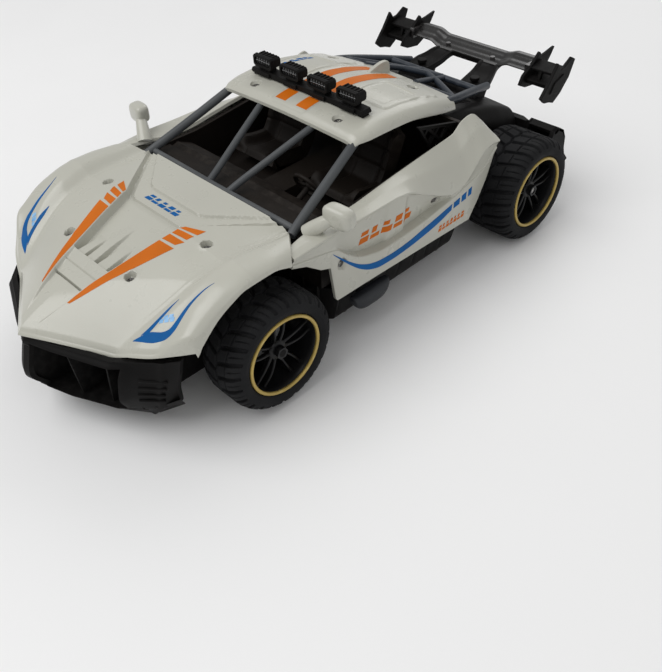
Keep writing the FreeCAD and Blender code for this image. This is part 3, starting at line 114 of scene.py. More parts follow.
# --- meshes ---------------------------------------------------------------------------------
class Form:
    """Points and faces of a piece while it is made."""

    def __init__(self):
        self.points = []
        self.faces = []

    def add(self, points, faces):
        start = len(self.points)
        self.points.extend(tuple(float(v) for v in p) for p in points)
        self.faces.extend(tuple(int(start + i) for i in face) for face in faces)
        return self

    def mirrored(self):
        """Adds the same shape on the car's other side."""
        twin = [(-x, y, z) for x, y, z in self.points]
        return self.add(twin, [tuple(reversed(face)) for face in self.faces])

    def other_side(self):
        """The same shape on the car's other side only."""
        twin = Form()
        return twin.add([(-x, y, z) for x, y, z in self.points], [tuple(reversed(f)) for f in self.faces])

    def block(self, x, y, z):
        """Box between two places along each axis."""
        corners = [(i, j, k) for i in x for j in y for k in z]
        return self.add(corners, [(0, 1, 3, 2), (4, 6, 7, 5), (0, 4, 5, 1), (2, 3, 7, 6), (0, 2, 6, 4),
                                  (1, 5, 7, 3)])

    def plate(self, outline, axis, low, high):
        """Flat outline in the two other axes, with a thickness from low to high."""
        count = len(outline)
        place = {"x": lambda p, v: (v, p[0], p[1]), "y": lambda p, v: (p[0], v, p[1]),
                 "z": lambda p, v: (p[0], p[1], v)}[axis]
        points = [place(p, low) for p in outline] + [place(p, high) for p in outline]
        faces = [tuple(range(count)), tuple(reversed(range(count, 2 * count)))]
        faces += [(i, (i + 1) % count, count + (i + 1) % count, count + i) for i in range(count)]
        return self.add(points, faces)

    def shell(self, outer, inner, kept=None):
        """Closed wall between two sheets of points. Cells that are not kept stay open."""
        rows, columns = outer.shape[:2]
        kept = np.ones((rows - 1, columns - 1), bool) if kept is None else kept
        count = rows * columns
        framed = np.zeros((rows + 1, columns + 1), bool)
        framed[1:-1, 1:-1] = kept
        r, c = np.nonzero(kept)
        a = r * columns + c
        quads = [np.stack([a, a + 1, a + columns + 1, a + columns], 1),
                 np.stack([a, a + columns, a + columns + 1, a + 1], 1) + count]
        for dr, dc, first, second in ((-1, 0, 0, 1), (1, 0, columns + 1, columns), (0, -1, columns, 0),
                                      (0, 1, 1, columns + 1)):
            open_side = ~framed[r + 1 + dr, c + 1 + dc]
            p, q = a[open_side] + first, a[open_side] + second
            quads.append(np.stack([q, p, p + count, q + count], 1))
        faces = np.concatenate(quads)
        points = np.concatenate([outer.reshape(-1, 3), inner.reshape(-1, 3)])
        used = np.unique(faces)
        lookup = np.zeros(len(points), int)
        lookup[used] = np.arange(len(used))
        return self.add(points[used], lookup[faces])

    def lathe(self, profile, y, turns=96, swell=None):
        """Ring turned about an axle: a closed loop of (x, radius) points."""
        profile = np.asarray(profile, float)
        angle = np.linspace(0.0, math.tau, turns, endpoint=False)
        x = np.repeat(profile[None, :, 0], turns, 0)
        radius = np.repeat(profile[None, :, 1], turns, 0)
        if swell is not None:
            radius = radius + swell(np.repeat(angle[:, None], len(profile), 1), x, radius)
        points = np.stack([x, y + radius * np.cos(angle)[:, None],
                           AXLE_Z + radius * np.sin(angle)[:, None]], -1)
        count = len(profile)
        i, j = np.meshgrid(np.arange(turns), np.arange(count), indexing="ij")
        k, m = (i + 1) % turns, (j + 1) % count
        faces = np.stack([i * count + j, i * count + m, k * count + m, k * count + j], -1).reshape(-1, 4)
        return self.add(points.reshape(-1, 3), faces)

    def loft(self, rings):
        """Solid through rings of as many points each, closed at both ends."""
        count = len(rings[0])
        points = np.concatenate([np.asarray(ring, float) for ring in rings])
        faces = [tuple(range(count)), tuple(reversed(range(len(points) - count, len(points))))]
        for n in range(len(rings) - 1):
            for s in range(count):
                t = (s + 1) % count
                faces.append((n * count + s, n * count + t, (n + 1) * count + t, (n + 1) * count + s))
        return self.add(points, faces)

    def tube(self, path, radius, sides=18):
        """Round bar along a path of points. The radius may differ from point to point."""
        path = np.asarray(path, float)
        radius = np.broadcast_to(radius, len(path))
        along = np.gradient(path, axis=0)
        along /= np.linalg.norm(along, axis=1)[:, None]
        side = np.cross(along[0], (0.0, 0.0, 1.0) if abs(along[0][2]) < 0.9 else (1.0, 0.0, 0.0))
        rings = []
        for p, d, r in zip(path, along, radius):
            side = side - d * np.dot(side, d)
            side /= np.linalg.norm(side)
            up = np.cross(d, side)
            turn = np.linspace(0.0, math.tau, sides, endpoint=False)
            rings.append(p + r * (np.cos(turn)[:, None] * side + np.sin(turn)[:, None] * up))
        return self.loft(rings)


def bent(points, count=24):
    """Evenly spaced points on a smooth line through a few points."""
    points = np.asarray(points, float)
    run = np.concatenate([[0.0], np.cumsum(np.linalg.norm(np.diff(points, axis=0), axis=1))])
    at = np.linspace(0.0, run[-1], count)
    return np.stack([flow(list(zip(run, points[:, n])), at) for n in range(points.shape[1])], 1)


BEVEL_SEGMENTS = 2
BEVEL_ANGLE = 32.0


def make(name, form, material, body, *nodes, bevel=0.0, sharp=34.0, slot=None):
    """Turns a form into a piece that rides on a body and stands for CAD nodes."""
    mesh = bpy.data.meshes.new(name)
    points = np.asarray(form.points, float) * MM
    points[:, 1] += AXLE_Y
    mesh.from_pydata(points.tolist(), [], form.faces)
    work = bmesh.new()
    work.from_mesh(mesh)
    bmesh.ops.recalc_face_normals(work, faces=work.faces)
    work.to_mesh(mesh)
    work.free()
    mesh.shade_smooth()
    mesh.set_sharp_from_angle(angle=math.radians(sharp))
    mesh.materials.append(material)
    piece = bpy.data.objects.new(name, mesh)
    bpy.context.scene.collection.objects.link(piece)
    if bevel:
        edge = piece.modifiers.new("edge_round", "BEVEL")
        edge.width = bevel * MM
        edge.segments = BEVEL_SEGMENTS
        edge.limit_method = "ANGLE"
        edge.angle_limit = math.radians(BEVEL_ANGLE)
        edge.harden_normals = True
    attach(piece, body)
    if nodes:
        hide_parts(*nodes)
    return piece


# --- shader node groups and finishes ---------------------------------------------------------
def put(tree, kind, inputs=None, **settings):
    """Adds a node, sets it up and wires or fills its inputs."""
    made = tree.nodes.new(kind)
    for key, value in settings.items():
        setattr(made, key, value)
    for socket, value in (inputs or {}).items():
        if isinstance(value, bpy.types.NodeSocket):
            tree.links.new(value, made.inputs[socket])
        else:
            made.inputs[socket].default_value = value
    return made


def new_group(name, inputs, outputs):
    """Empty node group with named sockets: (kind, name, default) going in, (kind, name) coming out."""
    tree = bpy.data.node_groups.new(name, "ShaderNodeTree")
    for kind, label, default in inputs:
        socket = tree.interface.new_socket(label, in_out="INPUT", socket_type="NodeSocket" + kind)
        socket.default_value = default
    for kind, label in outputs:
        tree.interface.new_socket(label, in_out="OUTPUT", socket_type="NodeSocket" + kind)
    return tree, tree.nodes.new("NodeGroupInput").outputs, tree.nodes.new("NodeGroupOutput").inputs


def moulded_grain():
    """Fine texture of a moulded surface: a height for bumps and a speck value for gloss."""
    tree, given, result = new_group("moulded_grain", (("Float", "Size", 1500.0), ("Float", "Soft", 0.5)),
                                    (("Float", "Height"), ("Float", "Speck")))
    place = put(tree, "ShaderNodeTexCoord").outputs["Object"]
    fine = put(tree, "ShaderNodeTexNoise", {"Vector": place, "Scale": given["Size"], "Detail": 3.0,
                                            "Roughness": given["Soft"]})
    cells = put(tree, "ShaderNodeTexVoronoi", {"Vector": place, "Scale": given["Size"]})
    mixed = put(tree, "ShaderNodeMath", {0: fine.outputs["Fac"], 1: cells.outputs["Distance"]},
                operation="MULTIPLY_ADD")
    mixed.inputs[2].default_value = 0.2
    wide = put(tree, "ShaderNodeMath", {0: given["Size"], 1: 0.06}, operation="MULTIPLY")
    blotch = put(tree, "ShaderNodeTexNoise", {"Vector": place, "Scale": wide.outputs[0], "Detail": 4.0})
    tree.links.new(mixed.outputs[0], result["Height"])
    tree.links.new(blotch.outputs["Fac"], result["Speck"])
    return tree


def edge_wear():
    """Mask of the rubbed outer edges, broken up by noise."""
    tree, given, result = new_group("edge_wear", (("Float", "Amount", 0.5), ("Float", "Breakup", 220.0)),
                                    (("Float", "Mask"),))
    bend = put(tree, "ShaderNodeNewGeometry").outputs["Pointiness"]
    edge = put(tree, "ShaderNodeMapRange", {"Value": bend, "From Min": 0.53, "From Max": 0.62})
    place = put(tree, "ShaderNodeTexCoord").outputs["Object"]
    noise = put(tree, "ShaderNodeTexNoise", {"Vector": place, "Scale": given["Breakup"], "Detail": 6.0})
    broken = put(tree, "ShaderNodeMapRange",
                 {"Value": noise.outputs["Fac"], "From Min": 0.42, "From Max": 0.66})
    both = put(tree, "ShaderNodeMath", {0: edge.outputs[0], 1: broken.outputs[0]}, operation="MULTIPLY")
    scaled = put(tree, "ShaderNodeMath", {0: both.outputs[0], 1: given["Amount"]}, operation="MULTIPLY")
    scaled.use_clamp = True
    tree.links.new(scaled.outputs[0], result["Mask"])
    return tree


def settled_dust():
    """Mask of dust that lies on upward faces and gathers in patches."""
    tree, given, result = new_group("settled_dust", (("Float", "Amount", 0.2), ("Float", "Patch", 40.0)),
                                    (("Float", "Mask"),))
    normal = put(tree, "ShaderNodeNewGeometry").outputs["Normal"]
    upward = put(tree, "ShaderNodeSeparateXYZ", {"Vector": normal}).outputs["Z"]
    top = put(tree, "ShaderNodeMapRange", {"Value": upward, "From Min": 0.1, "From Max": 1.0})
    place = put(tree, "ShaderNodeTexCoord").outputs["Object"]
    patch = put(tree, "ShaderNodeTexNoise", {"Vector": place, "Scale": given["Patch"], "Detail": 8.0,
                                             "Roughness": 0.65})
    spread = put(tree, "ShaderNodeMapRange",
                 {"Value": patch.outputs["Fac"], "From Min": 0.35, "From Max": 0.75})
    both = put(tree, "ShaderNodeMath", {0: top.outputs[0], 1: spread.outputs[0]}, operation="MULTIPLY")
    scaled = put(tree, "ShaderNodeMath", {0: both.outputs[0], 1: given["Amount"]}, operation="MULTIPLY")
    tree.links.new(scaled.outputs[0], result["Mask"])
    return tree


def tone_drift():
    """Slow drift between two tones of one colour over the surface."""
    tree, given, result = new_group("tone_drift",
            (("Color", "Light", (1, 1, 1, 1)), ("Color", "Deep", (1, 1, 1, 1)),
                                                   ("Float", "Size", 25.0)), (("Color", "Color"),))
    place = put(tree, "ShaderNodeTexCoord").outputs["Object"]
    noise = put(tree, "ShaderNodeTexNoise", {"Vector": place, "Scale": given["Size"], "Detail": 5.0})
    share = put(tree, "ShaderNodeMapRange",
                {"Value": noise.outputs["Fac"], "From Min": 0.3, "From Max": 0.7})
    tree.links.new(colour_mix(tree, share.outputs[0], given["Light"], given["Deep"]), result["Color"])
    return tree


GROUPS = {}


def effect(tree, name, **values):
    """Places a shared effect in a material with its own values."""
    if name not in GROUPS:
        GROUPS[name] = {"moulded_grain": moulded_grain, "edge_wear": edge_wear,
                        "settled_dust": settled_dust, "tone_drift": tone_drift}[name]()
    made = tree.nodes.new("ShaderNodeGroup")
    made.node_tree = GROUPS[name]
    for key, value in values.items():
        made.inputs[key].default_value = value
    return made.outputs


def colour_mix(tree, share, first, second):
    """Mixes two colours, each a socket or three numbers."""
    mix = put(tree, "ShaderNodeMix", {"Factor": share}, data_type="RGBA")
    sockets = [s for s in mix.inputs if s.type == "RGBA"]
    for socket, value in zip(sockets, (first, second)):
        if isinstance(value, bpy.types.NodeSocket):
            tree.links.new(value, socket)
        else:
            socket.default_value = (*value, 1.0)
    return [s for s in mix.outputs if s.type == "RGBA"][0]


DUST = (0.42, 0.38, 0.33)


def finish(name, light, deep, roughness, worn=None, wear=0.4, dust=0.12, swing=0.12, grain=1600.0,
           bump=0.06, metallic=0.0, coat=0.0, coat_roughness=0.12, specular=0.5, drift=25.0):
    """Material of one kind of surface, with drift in tone, grain, rubbed edges and dust."""
    material = bpy.data.materials.new(name)
    material.use_nodes = True
    tree = material.node_tree
    tree.nodes.clear()
    tone = effect(tree, "tone_drift", Light=(*light, 1.0), Deep=(*deep, 1.0), Size=drift)["Color"]
    rubbed = effect(tree, "edge_wear", Amount=wear)["Mask"]
    settled = effect(tree, "settled_dust", Amount=dust)["Mask"]
    grain_out = effect(tree, "moulded_grain", Size=grain)
    worn = worn or tuple(min(1.0, v * 1.6 + 0.03) for v in light)
    colour = colour_mix(tree, rubbed, tone, worn)
    colour = colour_mix(tree, settled, colour, DUST)
    swung = put(tree, "ShaderNodeMapRange", {"Value": grain_out["Speck"], "From Min": 0.3, "From Max": 0.7,
                                             "To Min": roughness - swing / 2.0,
                                             "To Max": roughness + swing / 2.0})
    dulled = put(tree, "ShaderNodeMath", {0: settled, 1: 0.5, 2: swung.outputs[0]},
                 operation="MULTIPLY_ADD")
    dulled.use_clamp = True
    raised = put(tree, "ShaderNodeBump", {
        "Height": grain_out["Height"], "Strength": 0.6, "Distance": bump * MM})
    shader = put(tree, "ShaderNodeBsdfPrincipled", {
        "Base Color": colour, "Roughness": dulled.outputs[0], "Normal": raised.outputs["Normal"],
        "Metallic": metallic, "Coat Weight": coat, "Coat Roughness": coat_roughness,
        "Specular IOR Level": specular})
    put(tree, "ShaderNodeOutputMaterial", {"Surface": shader.outputs["BSDF"]})
    return material


# Each finish: light tone, deep tone, roughness and how it differs from plain moulding. A light
# tone given by name is one of the car's paints, and its deep tone is a share of it.
COATS = {
    "white_shell": ("shell", 0.94, 0.3, {"worn": (0.62, 0.60, 0.56), "wear": 0.12, "dust": 0.03,
        "swing": 0.10, "bump": 0.05, "coat": 0.30, "coat_roughness": 0.16, "drift": 18.0}),
    "orange_print": ("orange", 0.86, 0.46, {"wear": 0.05, "dust": 0.01, "swing": 0.12, "bump": 0.05,
        "specular": 0.14, "drift": 60.0}),
    "blue_print": ("blue", 0.8, 0.46, {"wear": 0.05, "dust": 0.01, "swing": 0.12, "bump": 0.05,
        "specular": 0.12, "drift": 60.0}),
    "pale_print": ((0.30, 0.55, 0.80), (0.10, 0.32, 0.66), 0.3, {"wear": 0.1, "dust": 0.04, "coat": 0.4,
        "drift": 220.0}),
    "black_moulding": ((0.0075, 0.0070, 0.0068), (0.0045, 0.0042, 0.0042), 0.50, {
        "worn": (0.022, 0.021, 0.020), "wear": 0.4, "dust": 0.002, "bump": 0.12, "grain": 1300.0,
        "specular": 0.09}),
    "cabin_moulding": ((0.0130, 0.0098, 0.0076), (0.0075, 0.0058, 0.0048), 0.55, {
        "worn": (0.05, 0.042, 0.035), "wear": 0.3, "dust": 0.006, "bump": 0.12, "grain": 1100.0,
        "specular": 0.14}),
    "cage_grey": ((0.078, 0.084, 0.088), (0.052, 0.057, 0.062), 0.44, {"worn": (0.16, 0.16, 0.16),
        "wear": 0.4, "dust": 0.03, "bump": 0.08, "specular": 0.35}),
    "stay_blue_grey": ((0.026, 0.034, 0.046), (0.014, 0.019, 0.027), 0.42, {"worn": (0.08, 0.09, 0.11),
        "wear": 0.5, "dust": 0.02, "bump": 0.08, "specular": 0.35}),
    "tyre_rubber": ((0.0105, 0.0108, 0.0118), (0.0060, 0.0062, 0.0070), 0.74, {
        "worn": (0.026, 0.027, 0.029), "wear": 0.5, "dust": 0.008, "swing": 0.2, "bump": 0.16,
        "grain": 900.0, "specular": 0.18, "drift": 60.0}),
    "rim_satin": ((0.0065, 0.0065, 0.0070), (0.0040, 0.0040, 0.0045), 0.34, {"worn": (0.05, 0.05, 0.05),
        "wear": 0.4, "dust": 0.004, "coat": 0.05, "specular": 0.2}),
    "ring_gold": ("ring", 0.82, 0.36, {"worn": (0.75, 0.62, 0.28), "wear": 0.5, "dust": 0.04,
        "metallic": 0.35, "swing": 0.2, "drift": 90.0, "coat": 0.15}),
    "lamp_glass": ((0.020, 0.021, 0.023), (0.012, 0.012, 0.014), 0.12, {"wear": 0.1, "dust": 0.02,
        "coat": 0.8, "coat_roughness": 0.04, "bump": 0.02}),
    "wing_satin": ((0.011, 0.0102, 0.0100), (0.0070, 0.0066, 0.0066), 0.28, {
        "worn": (0.10, 0.095, 0.095), "wear": 0.6, "dust": 0.01, "coat": 0.2, "bump": 0.05}),
    "step_grey": ((0.020, 0.023, 0.028), (0.011, 0.013, 0.016), 0.44, {"worn": (0.07, 0.07, 0.08),
        "wear": 0.6, "dust": 0.02, "bump": 0.10, "specular": 0.35}),
    "steel": ((0.52, 0.51, 0.49), (0.38, 0.37, 0.36), 0.32, {"wear": 0.3, "dust": 0.05, "metallic": 1.0,
        "swing": 0.2, "grain": 2200.0}),
    "screw_dark": ((0.11, 0.105, 0.10), (0.06, 0.058, 0.055), 0.38, {"wear": 0.6,
        "worn": (0.5, 0.49, 0.47), "dust": 0.05, "metallic": 0.8}),
    "brass": ((0.62, 0.44, 0.17), (0.48, 0.32, 0.11), 0.34, {"metallic": 1.0, "dust": 0.03}),
    "gear_nylon": ((0.72, 0.70, 0.64), (0.62, 0.60, 0.54), 0.42, {"dust": 0.08}),
    "board_green": ((0.03, 0.14, 0.06), (0.02, 0.09, 0.04), 0.4, {"dust": 0.05}),
    "cell_wrap": ((0.05, 0.07, 0.10), (0.03, 0.05, 0.08), 0.3, {"dust": 0.04, "coat": 0.3}),
    "pale_floor": ((0.88, 0.88, 0.88), (0.86, 0.86, 0.86), 0.62, {"wear": 0.0, "dust": 0.0,
        "bump": 0.02, "grain": 300.0, "drift": 2.0}),
}
FINISHES = {}


def coat_of(name):
    """The finish of that name, made the first time it is asked for."""
    if name not in FINISHES:
        light, deep, roughness, options = COATS[name]
        if isinstance(light, str):
            light = tuple(getattr(bpy.context.scene.car_paint, light))
            deep = tuple(v * deep for v in light)
        FINISHES[name] = finish(name, light, deep, roughness, **options)
    return FINISHES[name]


# --- hood -----------------------------------------------------------------------------------
HOOD_TIP = -88.0
HOOD_CROWN = -8.0
HOOD_BACK = 29.0
HOOD_SIDE = 79.0
HOOD_FRONT = ((0.0, HOOD_TIP), (11.0, -82.0), (40.0, -66.5), (60.0, -57.0), (72.0, -48.0),
              (HOOD_SIDE, -42.0))
HOOD_LIP = ((0.0, 52.0), (40.0, 51.0), (60.0, 54.0), (72.0, 57.0), (HOOD_SIDE, 59.0))
HOOD_ARCH = ((0.0, 59.0), (0.22, 69.5), (0.36, 73.5), (0.52, 76.5), (0.8, 77.0), (1.0, 74.0))
TROUGH_EDGE = ((HOOD_TIP, 4.5), (-67.5, 11.0), (-6.0, 24.5), (HOOD_BACK, 56.0))
TROUGH_WALL = 1.6
HOOD_SCREWS = ((27.0, -40.0), (42.0, -6.0))
PANEL_WALL = 1.8
HOOD_DIP = 1.8
HOOD_RISE = 0.27
HOOD_BASE = 59.0


def hood_front(x):
    """Where the hood ends at the front, at a place across the car."""
    return flow(HOOD_FRONT, np.abs(x))


def hood_back(x):
    """Where the hood ends at the back, at a place across the car."""
    return straight(((0.0, HOOD_BACK), (60.0, HOOD_BACK), (HOOD_SIDE, 14.0)), np.abs(x))


def trough_edge(y):
    """Half width of the middle trough at a place along the car."""
    return straight(TROUGH_EDGE, y)


def trough_depth(x, y):
    """How far the bottom of the middle trough lies below the hood, with its slats and ribs."""
    nose = straight(((-80.0, 0.0), (-58.4, 1.4)), y)
    slats = straight(((-57.0, 1.3), (-51.0, 0.3), (-50.7, 1.0), (-50.0, 0.4), (-44.0, -0.4)), y)
    pan = flow(((-44.0, 4.6), (-30.0, 3.4), (-20.0, 3.2), (-6.0, 2.6), (HOOD_BACK, 1.0)), y)
    depth = np.where(y < -58.4, nose, np.where(y < -57.4, 3.4, np.where(y < -44.2, slats, pan)))
    for centre, reach, half in ((-10.5, -31.0, 3.4), (-2.0, -19.0, 3.4), (7.8, -28.0, 4.2)):
        rise = straight(((-43.8, 3.9), (reach, 0.3), (reach + 0.6, 0.0)), y) * (y > -44.2)
        width = half * straight(((-44.0, 1.0), (reach, 0.75)), y)
        depth = depth - rise * ridge(centre - 0.03 * (y + 44.0), width, x, 0.5)
    return depth


def hood_height(x, y, share):
    """Height of the hood's outer face."""
    side = np.abs(x)
    climb = HOOD_RISE * np.minimum(y - HOOD_TIP, HOOD_CROWN - HOOD_TIP)
    base = HOOD_BASE + climb - 2.6 * np.clip((y - HOOD_CROWN) / 37.0, 0.0, 1.0)
    base = base - 0.6 * np.exp(-((y - HOOD_CROWN) / 9.0) ** 2)
    edge = trough_edge(y)
    lift = straight(((-84.0, 0.0), (-66.0, 1.0), (-8.0, 1.8), (HOOD_BACK, 0.6)), y)
    crease = flow(((-66.0, 43.0), (-29.0, 54.0), (30.0, 59.0)), y)
    outward = np.clip((side - edge) / np.maximum(crease - edge, 1.0), 0.0, 1.0)
    plane = lift * (1.0 - outward) - HOOD_DIP * outward
    fender = (HOOD_DIP + 2.6 * step(0.02, 0.26, share)) * step(-1.0, 9.0, side - crease)
    fender = fender + 0.35 * np.exp(-((side - crease + 1.0) / 0.8) ** 2) * step(0.05, 0.2, share)
    outside = base + plane + fender
    arch = flow(HOOD_ARCH, share)
    t = np.clip((side - 67.0) / (HOOD_SIDE - 67.0), 0.0, 1.0)
    outside = outside - (outside - arch) * (1.0 - np.sqrt(np.maximum(1.0 - t ** 2.2, 0.0)))
    bottom = base - trough_depth(x, y)
    for start, first, last, rise in ((-5.7, 21.0, 52.6, 1.5), (6.3, 21.5, 48.0, 1.3)):
        half = first + (last - first) * (y - start) / (HOOD_BACK - start)
        inside = corner_depth(half - side, (y - start) * 1.4, 4.0)
        bottom = bottom + rise * step(0.0, 1.1, inside)
    wall = step(edge - TROUGH_WALL, edge - 0.1, side)
    top = np.where(side < edge, bottom + (base + plane - bottom) * wall, outside)
    ahead = y - hood_front(x)
    drop = (HOOD_BASE + HOOD_RISE * (hood_front(x) - HOOD_TIP) - flow(HOOD_LIP, side)
            - 2.8) * step(80.0, 62.0, side)
    reach = flow(((0.0, 24.0), (30.0, 32.0), (55.0, 36.0), (HOOD_SIDE, 22.0)), side)
    t = 1.0 - np.clip(ahead / reach, 0.0, 1.0)
    top = top - drop * t ** 1.5
    t = 1.0 - np.clip(ahead / 2.2, 0.0, 1.0)
    top = top - 1.1 * t * t
    for screw_x, screw_y in HOOD_SCREWS:
        away = np.hypot(side - screw_x, y - screw_y)
        top = top - 3.0 * step(2.8, 2.3, away) + 0.2 * np.exp(-((away - 3.4) / 0.5) ** 2)
    return top


def hood_share(x, y):
    """How far back a point lies between the hood's two ends, 0 to 1."""
    front, back = hood_front(x), hood_back(x)
    return np.clip((y - front) / (back - front), 0.0, 1.0)


def hood_point_height(x, y):
    """Height of the hood at any point."""
    return hood_height(x, y, hood_share(x, y))


def hood_form():
    """Hood as one wall that follows the trough, with a rolled front lip."""
    rows = np.unique(np.round(np.concatenate([
        np.arange(HOOD_TIP, HOOD_BACK, 0.62), np.arange(-59.2, -56.8, 0.2), np.arange(-51.6, -49.6, 0.2),
        np.arange(-45.0, -43.2, 0.2), [HOOD_BACK]]), 3))
    inner = np.linspace(0.0, 1.0, 74)
    outer = np.linspace(0.0, 1.0, 104)[1:]
    half_x = np.concatenate([inner, 1.0 + outer])
    across = np.concatenate([-half_x[::-1], half_x[1:]])
    y = np.repeat(rows[:, None], len(across), 1)
    x = np.zeros_like(y)
    for _ in range(8):
        edge = trough_edge(y)
        share = np.abs(across)[None, :]
        near = share * edge
        wide = edge + (share - 1.0) * (HOOD_SIDE - edge)
        x = np.sign(across)[None, :] * np.where(share <= 1.0, near, wide)
        front, back = hood_front(x), hood_back(x)
        level = flow(((0.0, -62.0), (18.0, -60.0), (60.0, HOOD_BACK), (HOOD_SIDE, HOOD_BACK)), np.abs(x))
        settle = np.clip((rows[:, None] - HOOD_TIP) / (level - HOOD_TIP), 0.0, 1.0)
        settle = settle * (2.0 - settle)
        whole = (rows[:, None] - HOOD_TIP) / (HOOD_BACK - HOOD_TIP)
        y = rows[:, None] + (front - HOOD_TIP) * (1.0 - settle) - (HOOD_BACK - back) * whole
        y = np.clip(y, front, back)
    z = hood_height(x, y, hood_share(x, y))
    top = np.stack([x, y, z], -1)
    front = top[0]
    lip_z = np.minimum(flow(HOOD_LIP, np.abs(front[:, 0])), front[:, 2] - 1.5)
    lips = []
    for t in (1.0, 0.92, 0.75, 0.55, 0.35, 0.18, 0.06):
        lips.append(np.stack([front[:, 0], front[:, 1] - 1.3 * math.sin(t * math.pi / 2.0),
                              front[:, 2] + (lip_z - front[:, 2]) * t], -1))
    sheet = np.concatenate([np.array(lips), top])
    side = np.abs(sheet[..., 0])
    tuck = step(0.90, 1.0, side / HOOD_SIDE)
    back_of = sheet.copy()
    lip_rows = np.zeros(len(sheet))
    lip_rows[:7] = (1.0, 0.97, 0.9, 0.8, 0.6, 0.4, 0.2)
    lip_rows = lip_rows[:, None]
    back_of[..., 0] -= np.sign(sheet[..., 0]) * 1.3 * tuck
    back_of[..., 1] += PANEL_WALL * (0.35 + 0.65 * lip_rows)
    back_of[..., 2] -= PANEL_WALL * (1.0 - lip_rows) * (1.0 - 0.5 * tuck)
    return Form().shell(sheet, back_of)


def ribbon(first, second, surface, rows=60, across=8, proud=0.13, deep=0.25):
    """Thin printed film between two edge lines of (a, b) points, laid on a surface."""
    first, second = bent(first, rows), bent(second, rows)
    t = np.linspace(0.0, 1.0, across)[None, :, None]
    flat = first[:, None, :] * (1.0 - t) + second[:, None, :] * t
    return Form().shell(surface(flat[..., 0], flat[..., 1], proud),
                        surface(flat[..., 0], flat[..., 1], -deep))


def on_hood(x, y, above):
    """Points a little above the hood."""
    return np.stack([x, y, hood_point_height(x, y) + above], -1)


def gather(forms):
    """One form out of several."""
    whole = Form()
    for form in forms:
        whole.add(form.points, form.faces)
    return whole


def beside_trough(y):
    """Point just outside the edge of the trough."""
    return (float(trough_edge(np.array(y))) + 0.3, y)


def hood_stripes():
    """Tapered stripe beside the trough, with three slanted blocks at its wide end."""
    wedge = ribbon([beside_trough(y) for y in (-66.4, -58.0, -46.0, -34.0, -18.6)],
                   [(12.7, -66.0), (16.6, -57.0), (21.0, -45.6), (25.6, -34.2), (31.9, -17.6)], on_hood,
                   rows=70)
    pieces = [wedge]
    for start, end, low, high in ((-17.2, -13.1, (30.7, -15.9), (33.2, -12.1)),
                                  (-12.0, -8.9, (32.9, -10.5), (34.1, -7.0)),
                                  (-7.8, -5.4, (34.2, -5.1), (34.9, -0.6))):
        pieces.append(ribbon([beside_trough(start), beside_trough(end)], [low, high], on_hood, rows=10))
    return gather(pieces).mirrored()


def lamp_flames():
    """Printed head lamp on the fender: a broad foot with two curved prongs."""
    outer_prong = ribbon([(68.0, -21.6), (66.7, -27.1), (66.2, -33.9), (66.3, -40.2),
                          (66.4, -43.6), (65.9, -46.2),
                          (64.6, -48.8), (62.4, -50.9), (59.4, -53.3), (54.4, -55.7), (49.4, -57.4)],
                         [(67.9, -21.7), (66.2, -26.6), (65.0, -33.0), (64.4, -38.6),
                          (64.1, -42.0), (63.6, -44.6),
                          (62.6, -46.4), (60.5, -48.3), (57.8, -49.8), (54.9, -51.4), (49.8, -56.6)],
                          on_hood, rows=90)
    inner_prong = ribbon([(57.2, -34.4), (57.2, -40.2), (56.4, -45.5), (55.9, -48.4), (55.2, -51.2)],
                         [(57.0, -34.5), (55.5, -39.6), (54.5, -45.1), (53.3, -49.6), (51.6, -54.0)],
                         on_hood)
    return gather([outer_prong, inner_prong]).mirrored()


def lamp_squares():
    """Pale squares inside each printed head lamp."""
    pieces = []
    for x, y in ((57.9, -46.0), (60.1, -44.5), (62.3, -43.0), (58.9, -43.9), (61.1, -42.4)):
        pieces.append(ribbon([(x - 0.9, y - 0.7), (x + 0.8, y + 0.5)], [(x - 1.7, y + 0.6), (x, y + 1.8)],
                             on_hood, rows=8, across=6))
    return gather(pieces).mirrored()


def slanted_bars(place, start, end, base, height, count, lean, surface, stroke=0.34, cut=0.42):
    """Row of generic slanted bars with notches, in the flat (a, b) space of a surface."""
    pieces = []
    pitch = (end - start) / count
    for n in range(count):
        a = start + n * pitch
        wide = pitch * (1.0 - stroke * 0.5)
        split = cut if n % 2 else 1.0 - cut
        for low, high, width in ((0.0, split - 0.08, wide),
                                 (split + 0.08, 1.0, wide * (0.55 if n % 3 else 0.8))):
            rail = [place(a + lean * t, base + height * t) for t in (low, high)]
            pair = [place(a + width + lean * t, base + height * t) for t in (low, high)]
            pieces.append(ribbon(rail, pair, surface, rows=6, across=6, proud=0.12))
    return gather(pieces)


def hood_bars():
    """Generic bars across the back of the hood."""
    return slanted_bars(lambda a, b: (a, b), -16.0, 11.5, -1.2, 4.4, 5, 1.6, on_hood)


# --- doors ----------------------------------------------------------------------------------
DOOR = (
    (16.0, 70.0, 76.5, 79.0, 72.0), (25.0, 66.5, 76.8, 79.0, 70.0), (34.0, 59.5, 77.2, 78.5, 68.0),
    (40.5, 57.0, 77.4, 78.0, 67.0), (43.0, 36.5, 77.5, 77.6, 66.2), (44.0, 34.6, 77.6, 77.5, 66.0),
    (62.0, 34.2, 77.0, 76.8, 66.0), (84.0, 33.6, 76.8, 79.0, 66.0), (94.0, 33.2, 75.6, 80.2, 66.0),
    (110.0, 32.7, 68.0, 81.8, 66.0), (125.0, 32.2, 60.8, 83.2, 66.0), (134.0, 31.8, 58.4, 84.0, 66.0),
    (143.0, 31.5, 61.0, 85.0, 66.0), (151.0, 31.2, 68.0, 90.0, 66.0), (158.0, 41.0, 74.0, 91.5, 66.5),
    (165.0, 53.0, 75.5, 86.0, 68.0), (171.0, 68.0, 74.5, 77.5, 72.0))
DOOR_SILL_X = 76.0
DOOR_SCREWS = ((47.6, 55.8), (122.0, 57.6))
